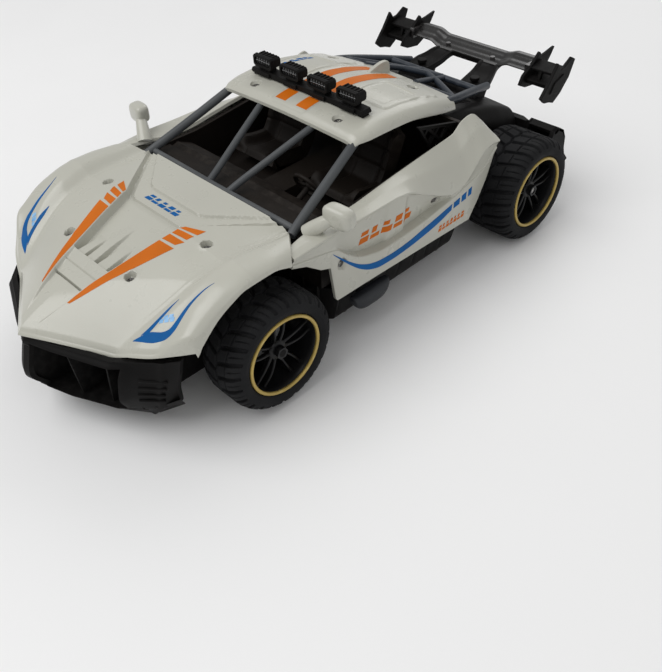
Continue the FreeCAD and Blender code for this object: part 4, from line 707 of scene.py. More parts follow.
LEDGE = ((16.0, 72.6), (25.0, 70.8), (34.0, 69.0), (43.6, 66.6), (52.7, 59.0), (60.0, 54.0), (67.0, 51.4),
         (79.4, 49.2), (97.0, 49.6), (128.8, 53.0), (136.4, 54.4), (143.0, 56.0), (158.0, 60.0),
         (171.0, 70.4))
HOLLOW = ((16.0, 0.0), (42.0, 0.2), (50.0, 2.6), (58.0, 4.4), (80.0, 4.6), (84.0, 3.0), (96.0, 3.0),
          (99.0, 4.8), (120.0, 4.4), (131.0, 2.0), (137.0, 0.0), (171.0, 0.0))


def door_column(y):
    """Profile of the door at one place along the car, from the sill up to the belt: (x, z) points."""
    sill = straight([(s[0], s[1]) for s in DOOR], y)
    crease = flow([(s[0], s[2]) for s in DOOR], y)
    belt = flow([(s[0], s[3]) for s in DOOR], y)
    belt_x = flow([(s[0], s[4]) for s in DOOR], y)
    ledge = max(flow(LEDGE, y), sill + 0.8)
    hollow = flow(HOLLOW, y)
    outer = DOOR_SILL_X + 2.6
    room = max(crease - ledge, 1.0)
    panel_top = crease - min(2.0, room * 0.3)
    rise = min(1.0, room / 6.0)
    points = [
        (DOOR_SILL_X, sill), (DOOR_SILL_X + 0.5, sill + (ledge - sill) * 0.5),
        (DOOR_SILL_X + 0.9, ledge - 1.4), (DOOR_SILL_X + 0.9, ledge - 0.5), (DOOR_SILL_X + 0.5, ledge),
        (DOOR_SILL_X + 0.8 - hollow, ledge + rise), (DOOR_SILL_X + 0.8 - hollow, ledge + 1.6 * rise),
        (DOOR_SILL_X + 1.2 - hollow * 0.8, ledge + (panel_top - ledge) * 0.6),
        (DOOR_SILL_X + 1.6 - hollow * 0.5, panel_top), (outer - 0.1, crease - 0.5),
        (outer - 0.3, crease + 0.3),
        (outer - (outer - belt_x) * 0.5, crease + (belt - crease) * 0.62 + 0.4),
        (belt_x + 0.8, belt - 0.1), (belt_x, belt - 0.3)]
    return np.array([(float(a), float(b)) for a, b in points])


DOOR_SPLITS = (8, 8, 4, 3, 5, 3, 8, 8, 5, 3, 8, 8, 3)


def door_grid():
    """Sheet of points over the whole door, with its screw recesses."""
    rows = np.unique(np.round(np.concatenate([np.arange(16.0, 171.0, 0.9), np.arange(40.0, 44.4, 0.3),
            [171.0]]), 3))
    sheet = []
    for y in rows:
        column = door_column(y)
        line = [column[0]]
        for a, b, count in zip(column, column[1:], DOOR_SPLITS):
            line.extend(a + (b - a) * n / count for n in range(1, count + 1))
        sheet.append([(x, y, z) for x, z in line])
    sheet = np.array(sheet)
    for screw_y, screw_z in DOOR_SCREWS:
        away = np.hypot(sheet[..., 1] - screw_y, sheet[..., 2] - screw_z)
        sheet[..., 0] -= 1.6 * step(3.0, 2.4, away)
    return sheet


def door_x(y, z):
    """How far out the door's face is."""
    y, z = np.broadcast_arrays(np.asarray(y, float), np.asarray(z, float))
    out = np.zeros(y.shape)
    for place in np.ndindex(*y.shape):
        column = door_column(y[place])
        out[place] = np.interp(z[place], column[:, 1], column[:, 0])
    return out


def on_door(y, z, above):
    """Points a little outside the door."""
    return np.stack([door_x(y, z) + above, y, z], -1)


def door_form():
    """Door as one wall, thinner over the shoulder."""
    sheet = door_grid()
    back_of = sheet.copy()
    lean = np.gradient(sheet, axis=1)
    tilt = np.abs(lean[..., 0]) / np.maximum(np.hypot(lean[..., 0], lean[..., 2]), 1e-6)
    tilt = tilt * (sheet[..., 2] > 72.0)
    back_of[..., 0] -= PANEL_WALL * (1.0 - 0.6 * tilt)
    back_of[..., 2] -= PANEL_WALL * tilt * 0.9
    return Form().shell(sheet, back_of)


def door_swoosh():
    """Curved stripe under the ledge with three slanted blocks behind it."""
    upper = ((41.6, 65.3), (47.8, 59.4), (54.4, 53.4), (61.3, 48.4), (68.4, 45.1), (75.7, 43.5),
             (85.7, 42.9), (97.0, 43.6), (108.5, 45.6), (119.0, 47.4), (133.6, 50.2))
    lower = ((41.8, 64.7), (47.6, 58.2), (54.2, 51.4), (61.1, 45.4), (68.4, 41.2), (76.0, 39.0),
             (86.0, 38.6), (97.4, 39.2), (110.4, 40.8), (122.3, 43.0), (133.2, 46.3))
    pieces = [ribbon(upper, lower, on_door, rows=110, across=8)]
    for start, end, low, high in ((135.0, 140.2, 46.6, 50.4), (141.9, 145.9, 47.4, 51.6),
                                  (147.6, 150.6, 48.3, 52.8)):
        pieces.append(ribbon([(start, high), (end, high + 0.9)], [(start, low), (end, low + 0.4)], on_door,
                             rows=8, across=8))
    return gather(pieces)


def door_bars():
    """Generic bars on the door's panel."""
    return slanted_bars(lambda a, b: (a, b - (a - 63.0) * 0.05), 63.4, 104.0, 57.0, 7.0, 5, 2.0, on_door,
                        stroke=0.4)


def door_small_bars():
    """Small generic bars near the back of the sill."""
    return slanted_bars(lambda a, b: (a, b), 123.0, 146.0, 36.4, 3.8, 7, 0.9, on_door, stroke=0.5)


# --- roof -----------------------------------------------------------------------------------
ROOF = (
    (82.0, 101.0, 100.0, 97.5, 51.5), (87.0, 103.0, 101.6, 97.5, 53.0), (94.0, 104.2, 102.8, 97.4, 54.0),
    (108.0, 105.2, 103.8, 97.0, 54.0), (122.0, 105.2, 103.2, 96.2, 54.0), (138.0, 102.8, 100.6, 93.0, 53.5),
    (154.0, 98.2, 96.0, 88.4, 51.5), (168.0, 93.0, 91.2, 84.6, 48.5))
ROOF_SCREWS = ((32.6, 91.2), (31.5, 150.2))


def roof_half(y):
    """Half width of the roof at a place along the car."""
    return flow([(s[0], s[4]) for s in ROOF], y)


def roof_height(x, y):
    """Height of the roof's outer face, with its pads, screw recesses and front lip."""
    side = np.abs(x)
    centre = flow([(s[0], s[1]) for s in ROOF], y)
    shoulder = flow([(s[0], s[2]) for s in ROOF], y)
    edge = flow([(s[0], s[3]) for s in ROOF], y)
    share = side / roof_half(y)
    crown = centre + (shoulder - centre) * np.clip(share / 0.84, 0.0, 1.0) ** 1.6
    t = np.clip((share - 0.84) / 0.16, 0.0, 1.0)
    height = crown - (shoulder - edge) * (1.0 - np.sqrt(np.maximum(1.0 - t ** 2.3, 0.0)))
    pad = corner_depth(15.0 - np.abs(side - 31.0), 22.0 - np.abs(y - 134.0), 2.5)
    height = height + 0.9 * step(0.0, 1.0, pad)
    hollow = corner_depth(11.0 - np.abs(side - 31.0), 13.0 - np.abs(y - 128.5), 2.0)
    height = height - 0.7 * step(0.0, 1.0, hollow)
    spine = corner_depth(14.0 - side, y - 84.0, 3.0) * step(170.0, 150.0, y)
    height = height - 0.5 * step(0.0, 1.2, spine)
    brow = step(86.5, 83.0, y) * 0.8
    height = height - brow
    for screw_x, screw_y in ROOF_SCREWS:
        away = np.hypot(side - screw_x, y - screw_y)
        height = height - 1.8 * step(3.3, 2.7, away)
    return height


def on_roof(x, y, above):
    """Points a little above the roof."""
    return np.stack([x, y, roof_height(x, y) + above], -1)


def roof_form():
    """Roof as one wall with turned-down sides."""
    rows = np.concatenate([np.arange(82.0, 90.0, 0.4), np.arange(90.0, 167.9, 0.62), [168.0]])
    share = np.concatenate([np.linspace(0.0, 0.84, 80)[:-1], 0.84 + 0.16 * np.sin(np.linspace(0.0, 1.0, 16)
                                                                                 * math.pi / 2.0)])
    share = np.concatenate([-share[::-1], share[1:]])
    y = np.repeat(rows[:, None], len(share), 1)
    x = share[None, :] * roof_half(y)
    sheet = np.stack([x, y, roof_height(x, y)], -1)
    back_of = sheet.copy()
    tuck = step(0.9, 1.0, np.abs(share))[None, :]
    back_of[..., 0] -= np.sign(x) * 1.5 * tuck
    back_of[..., 2] -= PANEL_WALL * (1.0 - 0.4 * tuck)
    return Form().shell(sheet, back_of)


def roof_fin():
    """Low curved fin at the back of the roof."""
    crest = bent([(147.0, 99.6), (151.0, 100.8), (155.0, 101.8), (159.0, 102.3), (162.6, 101.8),
                  (164.6, 99.6), (165.0, 93.6)], 30)
    outline = [tuple(p) for p in crest] + [(156.0, 96.0), (147.0, 98.6)]
    return Form().plate(outline, "x", -1.3, 1.3)


def roof_stripes():
    """Two stripes along the roof, each cut by the light bar."""
    pieces = []
    for side in (-1.0, 1.0):
        for start, end in ((87.5, 97.6), (105.0, 159.0)):
            ys = np.linspace(start, end, 6)
            pieces.append(ribbon([(side * 4.2, y) for y in ys], [(side * 12.2, y) for y in ys], on_roof,
                                 rows=50 if end > 100 else 14, across=8))
    return gather(pieces)


def roof_bars():
    """Generic bars beside the stripes."""
    return slanted_bars(lambda a, b: (-b, a), 114.0, 140.0, 36.0, 4.0, 5, -1.6, on_roof, stroke=0.5)


# --- lamps, mirrors and cage ------------------------------------------------------------------
RAIL_Y = 101.0
LAMP_X = (-33.0, -11.0, 11.0, 33.0)
LAMP_HALF = 7.6
LAMP_Z = (109.5, 116.2)


def rail_form():
    """Flat rail with upturned ends, side feet and a raised pad under each lamp."""
    form = Form()
    form.plate([(-44.0, 105.6), (-43.0, 107.6), (-38.0, 107.8), (38.0, 107.8), (43.0, 107.6), (44.0, 105.6),
                (43.0, 104.6), (-43.0, 104.6)], "y", RAIL_Y - 3.4, RAIL_Y + 3.4)
    for x in LAMP_X:
        form.block((x - 5.5, x + 5.5), (RAIL_Y - 4.4, RAIL_Y - 3.2), (104.9, 107.5))
        form.block((x - 4.5, x + 4.5), (RAIL_Y - 2.6, RAIL_Y + 2.6), (107.6, 108.6))
    for side in (-1.0, 1.0):
        form.block((side * 39.0, side * 43.0), (RAIL_Y - 2.4, RAIL_Y + 2.4), (101.0, 104.8))
    return form


def lamp_form():
    """Four lamp housings: a rounded block with a stepped bezel, top ribs and a grooved waist."""
    form = Form()
    for x in LAMP_X:
        def outline(inset):
            half, low, high = LAMP_HALF - inset, LAMP_Z[0] + inset, LAMP_Z[1] - inset
            cut = 1.0
            return [(x - half + cut, low), (x + half - cut, low),
                    (x + half, low + cut), (x + half, high - cut),
                    (x + half - cut, high), (x - half + cut, high),
                    (x - half, high - cut), (x - half, low + cut)]
        form.plate(outline(0.5), "y", RAIL_Y - 1.6, RAIL_Y + 3.4)
        form.plate(outline(0.0), "y", RAIL_Y - 3.0, RAIL_Y - 1.4)
        form.plate(outline(1.0), "y", RAIL_Y + 3.2, RAIL_Y + 4.2)
        outer, inner = outline(0.1), outline(1.3)
        count = len(outer)
        front, recess = RAIL_Y - 4.0, RAIL_Y - 2.6
        points = [(a, front, b) for a, b in outer] + [(a, front, b) for a, b in inner]
        points += [(a, recess, b) for a, b in outer] + [(a, recess, b) for a, b in inner]
        faces = []
        for i in range(count):
            j = (i + 1) % count
            faces += [(i, j, count + j, count + i),
                      (2 * count + i, 3 * count + i, 3 * count + j, 2 * count + j),
                      (i, 2 * count + i, 2 * count + j, j),
                      (count + i, count + j, 3 * count + j, 3 * count + i)]
        form.add(points, faces)
        for rib in (-5.0, -2.5, 0.0, 2.5, 5.0):
            form.block((x + rib - 0.45, x + rib + 0.45), (RAIL_Y - 1.2, RAIL_Y + 3.0), (115.5, 116.25))
        form.block((x - 3.2, x + 3.2), (RAIL_Y - 1.8, RAIL_Y + 1.8), (108.2, 110.0))
        form.block((x - 4.6, x + 4.6), (RAIL_Y - 2.6, RAIL_Y + 2.6), (108.4, 109.0))
    return form


def lens_form():
    """Lamp lenses: a fluted plate with a centre bar in each housing."""
    form = Form()
    for x in LAMP_X:
        across = np.linspace(x - 6.3, x + 6.3, 64)
        up = np.linspace(110.8, 114.9, 22)
        u, v = np.meshgrid(across, up, indexing="ij")
        face = RAIL_Y - 3.0 + 0.22 * np.cos((u - x) * math.tau / 2.0) + 0.2 * ((v - 112.85) / 2.2) ** 2
        face = face - 0.5 * ridge(112.85, 0.35, v, 0.15)
        form.shell(np.stack([u, face, v], -1), np.stack([u, face + 1.0, v], -1))
    return form


def mirror_form():
    """Rounded mirror head on a short broad stalk that grows out of the door's shoulder."""
    form = Form()
    centre = np.array((81.5, 42.5, 88.2))
    half = np.array((7.6, 4.4, 5.4))
    turns = 40
    rings = 26
    points, faces = [], []
    for i in range(rings + 1):
        polar = math.pi * i / rings
        for j in range(turns):
            spin = math.tau * j / turns
            raw = np.array((math.sin(polar) * math.cos(spin), math.sin(polar) * math.sin(spin),
                            math.cos(polar)))
            squared = np.sign(raw) * np.abs(raw) ** 0.56
            p = centre + half * squared
            p[1] += 0.16 * (p[0] - centre[0])
            p[2] -= 0.10 * (p[0] - centre[0])
            points.append(p)
    for i in range(rings):
        for j in range(turns):
            k = (j + 1) % turns
            faces.append((i * turns + j, i * turns + k, (i + 1) * turns + k, (i + 1) * turns + j))
    form.add(points, faces)
    path = bent([(67.8, 34.5, 77.2), (69.8, 35.8, 79.4), (72.8, 37.6, 82.2), (76.2, 39.6, 85.0),
                 (79.0, 41.2, 86.8)], 18)
    form.tube(path, np.linspace(4.4, 2.9, 18), 22)
    return form.mirrored()


def cage_front_form():
    """Windscreen frame: two round pillars, two slanted braces and a bar along the cowl."""
    form = Form()
    for side in (-1.0, 1.0):
        form.tube(bent([(side * 60.5, 30.0, 74.5), (side * 59.5, 34.0, 76.2), (side * 54.0, 61.0, 87.0),
                        (side * 49.0, 87.0, 97.6)], 30), 2.4, 24)
        form.tube(bent([(side * 7.6, 31.0, 74.2), (side * 8.4, 36.0, 76.6), (side * 14.4, 60.0, 87.0),
                        (side * 21.0, 86.0, 98.0)], 30), 1.9, 22)
    form.tube([(-59.5, 34.0, 75.4), (0.0, 33.0, 75.8), (59.5, 34.0, 75.4)], 1.8, 20)
    form.tube(bent([(-49.0, 87.0, 96.8), (0.0, 85.6, 98.4), (49.0, 87.0, 96.8)], 16), 2.0, 20)
    return form


def cage_rear_form():
    """Crossed stays between the back of the roof and the tail."""
    form = Form()
    for side in (-1.0, 1.0):
        form.tube(bent([(side * 45.0, 164.0, 89.6), (side * 44.0, 172.0, 88.0), (side * 38.0, 196.0, 82.0),
                        (side * 31.0, 221.0, 75.0)], 26), 2.4, 22)
        form.tube(bent([(side * 44.0, 172.0, 88.0), (side * 18.0, 189.0, 84.6), (-side * 8.0, 206.0, 79.4)],
                       20), 1.9, 20)
        form.tube([(side * 20.0, 166.0, 93.0), (side * 14.0, 186.0, 86.0), (side * 9.0, 206.0, 79.0)], 1.7,
                  18)
    form.tube([(-35.0, 206.0, 79.0), (35.0, 206.0, 79.0)], 2.0, 20)
    form.tube([(-44.5, 172.0, 88.0), (44.5, 172.0, 88.0)], 2.0, 20)
    return form


def seat_form():
    """Two bucket seats with side bolsters, a split back and a headrest."""
    form = Form()
    for side in (-1.0, 1.0):
        middle_x = side * 32.0
        spine = bent([(82.5, 60.4), (86.0, 63.4), (96.0, 61.4), (106.0, 60.4), (110.5, 64.5), (116.0, 76.0),
                      (122.0, 88.5), (124.5, 93.5), (127.6, 94.4), (129.4, 91.6)], 90)
        across = np.linspace(-1.0, 1.0, 37)
        run = np.linspace(0.0, 1.0, len(spine))[:, None]
        narrow = straight(((0.0, 1.0), (0.8, 1.0), (0.86, 0.52), (1.0, 0.46)), run[:, 0])[:, None]
        raised = (4.2 * step(0.55, 0.86, np.abs(across))[None, :] * step(0.02, 0.12, run)
                  * step(0.83, 0.76, run))
        seam = -0.8 * np.exp(-((np.abs(across)[None, :] - 0.52) / 0.03) ** 2)
        seam = seam - 0.7 * (np.exp(-((run - 0.52) / 0.008) ** 2) + np.exp(-((run - 0.66) / 0.008) ** 2))
        slope = np.gradient(spine, axis=0)
        slope /= np.linalg.norm(slope, axis=1)[:, None]
        lift = raised + seam
        x = middle_x + across[None, :] * 16.6 * narrow
        y = spine[:, :1] - slope[:, 1:] * lift
        z = spine[:, 1:] + slope[:, :1] * lift
        outer = np.stack([x, y, z], -1)
        back_y = spine[:, :1] + slope[:, 1:] * 5.0
        back_z = np.maximum(spine[:, 1:] - slope[:, :1] * 5.0, 52.5)
        inner = np.stack(np.broadcast_arrays(x, back_y, back_z), -1)
        form.shell(outer, inner)
    return form


STEP_Y = 58.0
STEP_LENGTH = 27.0
STEP_TOP = 25.8
STEP_HALF = (4.0, 5.2)


def step_form():
    """Rounded foot step under each sill."""
    length = np.linspace(0.0, 1.0, 46)
    around = np.linspace(0.0, math.tau, 36, endpoint=False)
    rings = []
    for t in length:
        y = STEP_Y + STEP_LENGTH * t
        swell = math.sqrt(max(0.0, 1.0 - abs(2.0 * t - 1.0) ** 3.4)) * 0.9 + 0.1
        deep, wide = STEP_HALF[1] * swell, STEP_HALF[0] * (0.35 + 0.65 * swell)
        ring = []
        for a in around:
            c, s = math.cos(a), math.sin(a)
            ring.append((72.4 + wide * np.sign(c) * abs(c) ** 0.7, y,
                         STEP_TOP - deep + deep * np.sign(s) * abs(s) ** 0.7))
        rings.append(ring)
    return Form().loft(rings).mirrored()


def screw_form():
    """Cross-head screws of the hood, roof and doors, sunk in their recesses."""
    form = Form()

    def head(centre, axis):
        other = [n for n in range(3) if n != axis]
        turns = 28
        rings = ((0.2, -0.5), (1.0, -0.2), (1.9, 0.0), (2.3, -0.3), (2.4, -1.2), (1.3, -1.4), (1.2, -2.6))
        made = []
        for radius, level in rings:
            ring = []
            for n in range(turns):
                turn = math.tau * n / turns
                slot = 0.7 * max(0.0, abs(math.cos(2.0 * turn)) - 0.62) if radius < 1.2 else 0.0
                p = list(centre)
                p[axis] += level - slot
                p[other[0]] += radius * math.cos(turn)
                p[other[1]] += radius * math.sin(turn)
                ring.append(p)
            made.append(ring)
        form.loft(made)

    for x, y in HOOD_SCREWS:
        head((x, y, float(hood_point_height(np.array(x), np.array(y))) + 0.7), 2)
    for x, y in ROOF_SCREWS:
        head((x, y, float(roof_height(np.array(x), np.array(y))) + 0.5), 2)
    for y, z in DOOR_SCREWS:
        head((float(door_x(y, z)) - 1.1, y, z), 0)
    return form.mirrored()


# --- bumpers, deck and wing -------------------------------------------------------------------
BUMPER = (
    (8.0, ((0.0, -76.0), (15.0, -73.0), (35.0, -64.5), (49.0, -55.0), (50.0, -46.0))),
    (19.0, ((0.0, -86.5), (16.0, -81.5), (42.0, -70.0), (58.0, -55.0), (61.0, -47.5))),
    (30.0, ((0.0, -93.0), (16.0, -88.0), (45.0, -75.0), (61.0, -55.5), (63.5, -48.5))),
    (41.0, ((0.0, -90.0), (16.0, -85.5), (46.0, -74.0), (64.0, -54.0), (66.5, -47.5))),
    (50.0, ((0.0, -86.5), (16.0, -81.0), (46.0, -69.0), (65.0, -52.5), (69.0, -47.0))))
MOUTH_SHARE = 0.56
MOUTH_Z = (18.5, 47.5)
BEAK_SHARE = 0.055
BUMPER_WALL = 2.6


def bumper_point(share, z):
    """Point of the bumper's outer face at a share of the half width, -1 to 1, and a height."""
    side = np.abs(share) * 4.0
    xs = [flow([(level, outline[k][0]) for level, outline in BUMPER], z) for k in range(5)]
    ys = [flow([(level, outline[k][1]) for level, outline in BUMPER], z) for k in range(5)]
    low = np.clip(np.floor(side).astype(int), 0, 3)
    part = side - low
    x = np.choose(low, xs[:4]) * (1 - part) + np.choose(low, xs[1:]) * part
    y = np.choose(low, ys[:4]) * (1 - part) + np.choose(low, ys[1:]) * part
    return np.stack([np.sign(share) * x, y, z], -1)


def bumper_form():
    """Beaked shell with a deep open mouth, upright dividers and side louvres."""
    half = np.unique(np.concatenate([np.linspace(0.0, BEAK_SHARE, 6),
            np.linspace(BEAK_SHARE, MOUTH_SHARE, 44), np.linspace(MOUTH_SHARE, 1.0, 42)]))
    share = np.concatenate([-half[::-1], half[1:]])
    levels = np.unique(np.concatenate([np.linspace(8.0, MOUTH_Z[0], 14), np.linspace(*MOUTH_Z, 32),
                                       np.linspace(MOUTH_Z[1], 50.5, 9)]))
    s, z = np.meshgrid(share, levels)
    sheet = bumper_point(s, z)
    rim = corner_depth((MOUTH_SHARE + 0.04 - np.abs(s)) * 60.0, np.minimum(z - MOUTH_Z[0] + 2.0,
                                                                        MOUTH_Z[1] + 2.0 - z), 4.0)
    sheet[..., 1] -= 0.9 * step(-0.5, 1.5, rim) * step(4.0, 2.6, rim)
    crease = np.exp(-((np.abs(s) - 0.74) / 0.02) ** 2)
    sheet[..., 1] -= 0.8 * crease
    back_of = sheet.copy()
    back_of[..., 1] += BUMPER_WALL
    back_of[..., 0] *= 0.985
    mid_s = (np.abs(s[1:, 1:]) + np.abs(s[:-1, :-1])) / 2.0
    mid_z = (z[1:, 1:] + z[:-1, :-1]) / 2.0
    mouth = (mid_s > BEAK_SHARE) & (mid_s < MOUTH_SHARE) & (mid_z > MOUTH_Z[0]) & (mid_z < MOUTH_Z[1])
    form = Form().shell(sheet, back_of, ~mouth)
    form.plate([(-84.0, 18.0), (-90.0, 30.0), (-87.0, 41.0), (-84.5, 48.0), (-57.0, 48.0), (-57.0, 16.0)],
               "x", -1.1, 1.1)
    for side in (-1.0, 1.0):
        form.plate([(-76.0, 18.0), (-58.0, 16.0), (-58.0, 47.0), (-78.0, 47.0)], "x", side * 19.0,
                   side * 21.0)
        form.plate([(-69.0, 18.5), (-60.0, 17.0), (-57.0, 45.0), (-67.0, 47.0)], "x", side * 35.0,
                   side * 36.6)
        form.plate([(-62.0, 17.0), (-55.0, 16.5), (-53.0, 46.0), (-63.0, 48.0)], "x", side * 48.5,
                   side * 50.3)
        for n in range(4):
            line = bumper_point(np.linspace(0.64, 0.78, 12) * side, np.full(12, 27.0 + 4.6 * n))
            line[:, 2] -= np.linspace(0.0, 2.6, 12)
            form.tube(line, 0.8, 12)
        foot = [(side * 38.0, -66.0, 17.5), (side * 56.0, -57.5, 19.0), (side * 64.5, -48.5, 24.0),
                (side * 63.0, -46.0, 18.0), (side * 53.0, -46.5, 10.5), (side * 40.0, -52.0, 8.0),
                (side * 52.0, -55.0, 10.8)]
        form.add(foot, [(0, 1, 6, 5), (1, 2, 6), (2, 3, 6), (3, 4, 6), (4, 5, 6), (0, 5, 4, 3, 2, 1)])
    form.plate([(-51.0, -59.5), (-40.0, -69.0), (-15.5, -80.4), (0.0, -85.4), (15.5, -80.4), (40.0, -69.0),
                (51.0, -59.5), (48.0, -55.0), (-48.0, -55.0)], "z", 15.6, 18.4)
    form.plate([(-49.0, -58.0), (49.0, -58.0), (49.0, -55.6), (-49.0, -55.6)], "z", 16.0, 48.0)
    for n in range(5):
        form.block((-47.0, 47.0), (-60.2, -57.5), (21.0 + 5.0 * n, 22.6 + 5.0 * n))
    return form


EAR = (
    (235.0, 21.0), (235.0, 46.0), (238.0, 51.0), (243.0, 52.4), (249.0, 48.6), (252.0, 42.6), (252.4, 35.0),
    (254.0, 30.0), (258.6, 24.6), (248.0, 19.4))
EAR_X = (52.0, 73.0)
EAR_HOLLOW = 0.84


def rear_guard_form():
    """Lower rear moulding: a ribbed wall, a skid lip and a hollow ear behind each wheel."""
    form = Form()
    form.plate([(-56.0, 234.6), (-50.0, 237.4), (50.0, 237.4), (56.0, 234.6), (54.0, 232.6),
                (-54.0, 232.6)], "z", 14.0, 55.0)
    for n in range(9):
        x = -44.0 + 11.0 * n
        form.plate([(237.0, 18.0), (239.6, 22.0), (239.6, 44.0), (237.0, 50.0)], "x", x - 1.1, x + 1.1)
    form.block((-48.0, 48.0), (236.8, 241.0), (28.0, 31.0))
    form.block((-52.0, 52.0), (228.0, 240.5), (12.4, 15.4))
    inner, outer = EAR_X
    for side in (-1.0, 1.0):
        form.plate(EAR, "x", side * (outer - 3.0), side * outer)
        form.plate(EAR, "x", side * inner, side * (inner + 2.4))
        for (y0, z0), (y1, z1) in zip(EAR[2:], EAR[3:]):
            across = np.array([(side * x, y, z) for y, z in ((y0, z0), (y1, z1)) for x in EAR_X])
            middle_point = np.array([0.0, 244.0, 36.0])
            inward = (across - middle_point) * np.array([0.0, EAR_HOLLOW, EAR_HOLLOW]) + middle_point
            inward[:, 0] = across[:, 0]
            form.add(np.concatenate([across, inward]),
                     [(0, 1, 3, 2), (4, 6, 7, 5), (0, 4, 5, 1), (2, 3, 7, 6), (0, 2, 6, 4), (1, 5, 7, 3)])
        form.block((side * 50.0, side * 62.0), (233.5, 236.6), (20.0, 45.0))
    return form


def deck_form():
    """Black rear cover with a raised spine, louvres and turned-down sides."""
    rows = np.arange(162.5, 232.2, 0.9)
    half = np.concatenate([np.linspace(0.0, 40.0, 46), 40.0 + 8.5 * np.sin(np.linspace(0.0, 1.0, 14)[1:]
                                                                         * math.pi / 2.0)])
    across = np.concatenate([-half[::-1], half[1:]])
    y = np.repeat(rows[:, None], len(across), 1)
    x = np.repeat(across[None, :], len(rows), 0)
    side = np.abs(x)
    z = flow(((162.5, 82.0), (176.0, 80.0), (212.0, 70.5), (232.0, 62.0)), y)
    t = np.clip((side - 40.0) / 8.5, 0.0, 1.0)
    z = z - 1.6 * np.clip(side / 40.0, 0.0, 1.0) ** 2 - 13.0 * (1.0 - np.sqrt(np.maximum(1.0 - t * t, 0.0)))
    spine = corner_depth(9.0 - side, np.minimum(y - 168.0, 206.0 - y), 3.0)
    z = z + 1.4 * step(0.0, 1.6, spine)
    louvre = corner_depth(9.0 - np.abs(side - 25.0), np.minimum(y - 172.0, 203.0 - y), 1.0)
    z = z - 1.8 * step(0.0, 0.8, louvre) * ((y - 172.0) % 6.0) / 6.0
    sheet = np.stack([x, y, z], -1)
    back_of = sheet.copy()
    back_of[..., 2] -= 2.4
    back_of[..., 0] -= np.sign(x) * 1.6 * t
    return Form().shell(sheet, back_of)


def bracket_form():
    """Broad wing bracket that slopes up behind the deck, open in the middle."""
    form = Form()
    rows = np.unique(np.concatenate([np.linspace(207.0, 216.0, 10), np.linspace(216.0, 240.0, 26),
                                     np.linspace(240.0, 247.0, 8)]))
    half = np.concatenate([np.linspace(0.0, 1.0, 9), 1.0 + np.linspace(0.0, 1.0, 16)[1:]])
    across = np.concatenate([-half[::-1], half[1:]])
    y = np.repeat(rows[:, None], len(across), 1)
    inner = straight(((216.0, 14.0), (240.0, 11.0)), y)
    outer = straight(((207.0, 30.0), (226.0, 30.0), (241.0, 24.6), (247.0, 23.4)), y)
    u = np.abs(across)[None, :]
    x = np.sign(across)[None, :] * np.where(u <= 1.0, u * inner, inner + (u - 1.0) * (outer - inner))
    z = flow(((206.0, 71.0), (211.0, 74.4), (230.0, 77.6), (239.0, 80.2), (247.0, 80.4)), y)
    edge = np.minimum(np.abs(x) - inner, outer - np.abs(x))
    z = z - 1.0 * step(1.4, 3.0, edge) * step(4.0, 6.0, outer - inner)
    sheet = np.stack([x, y, z], -1)
    back_of = sheet.copy()
    back_of[..., 2] = flow(((206.0, 68.0), (211.0, 70.0), (230.0, 74.0), (239.0, 76.8), (247.0, 77.2)), y)
    mid_y = (y[1:, 1:] + y[:-1, :-1]) / 2.0
    mid_u = (np.abs(across[1:]) + np.abs(across[:-1]))[None, :] / 2.0
    form.shell(sheet, back_of, ~((mid_u < 1.0) & (mid_y > 216.0) & (mid_y < 240.0)))
    for side in (-1.0, 1.0):
        form.plate([(208.0, 66.0), (211.0, 72.0), (228.0, 75.6), (232.0, 74.0), (225.0, 60.5),
                    (215.0, 61.0)], "x", side * 17.0, side * 26.0)
        form.tube([(side * 21.5, 221.0, 76.0), (side * 21.5, 221.0, 78.2)], 3.0, 20)
    return form


def blade_form():
    """Wing blade with a low middle, a slanted step on each side and a bright ridge at the back."""
    outline = bent([(240.2, 79.6), (241.2, 80.7), (243.0, 81.6), (245.4, 82.2), (247.0, 83.1),
                    (248.4, 84.2),
                    (250.0, 84.9), (252.4, 84.9), (253.4, 83.9), (252.6, 82.4), (250.4, 81.2),
                    (247.6, 80.2), (244.6, 79.4), (241.6, 78.7), (240.3, 78.8)], 46)
    stations = np.unique(np.concatenate([np.linspace(-47.4, 47.4, 40), np.linspace(22.0, 33.0, 14),
                                         -np.linspace(22.0, 33.0, 14)]))
    rings = []
    for x in stations:
        rise = 3.0 * float(step(23.0, 32.0, abs(x)))
        thick = 1.0 - 0.10 * float(step(24.0, 31.0, abs(x)))
        ring = outline.copy()
        ring[:, 1] = 80.0 + (ring[:, 1] - 80.0) * thick + rise
        rings.append(np.column_stack([np.full(len(ring), x), ring]))
    form = Form().loft(rings)
    for side in (-1.0, 1.0):
        form.block((side * 45.0, side * 48.0), (239.0, 251.0), (80.6, 86.6))
        form.tube([(side * 18.0, 243.0, 80.0), (side * 18.0, 243.0, 83.2)], 1.6, 16)
    return form


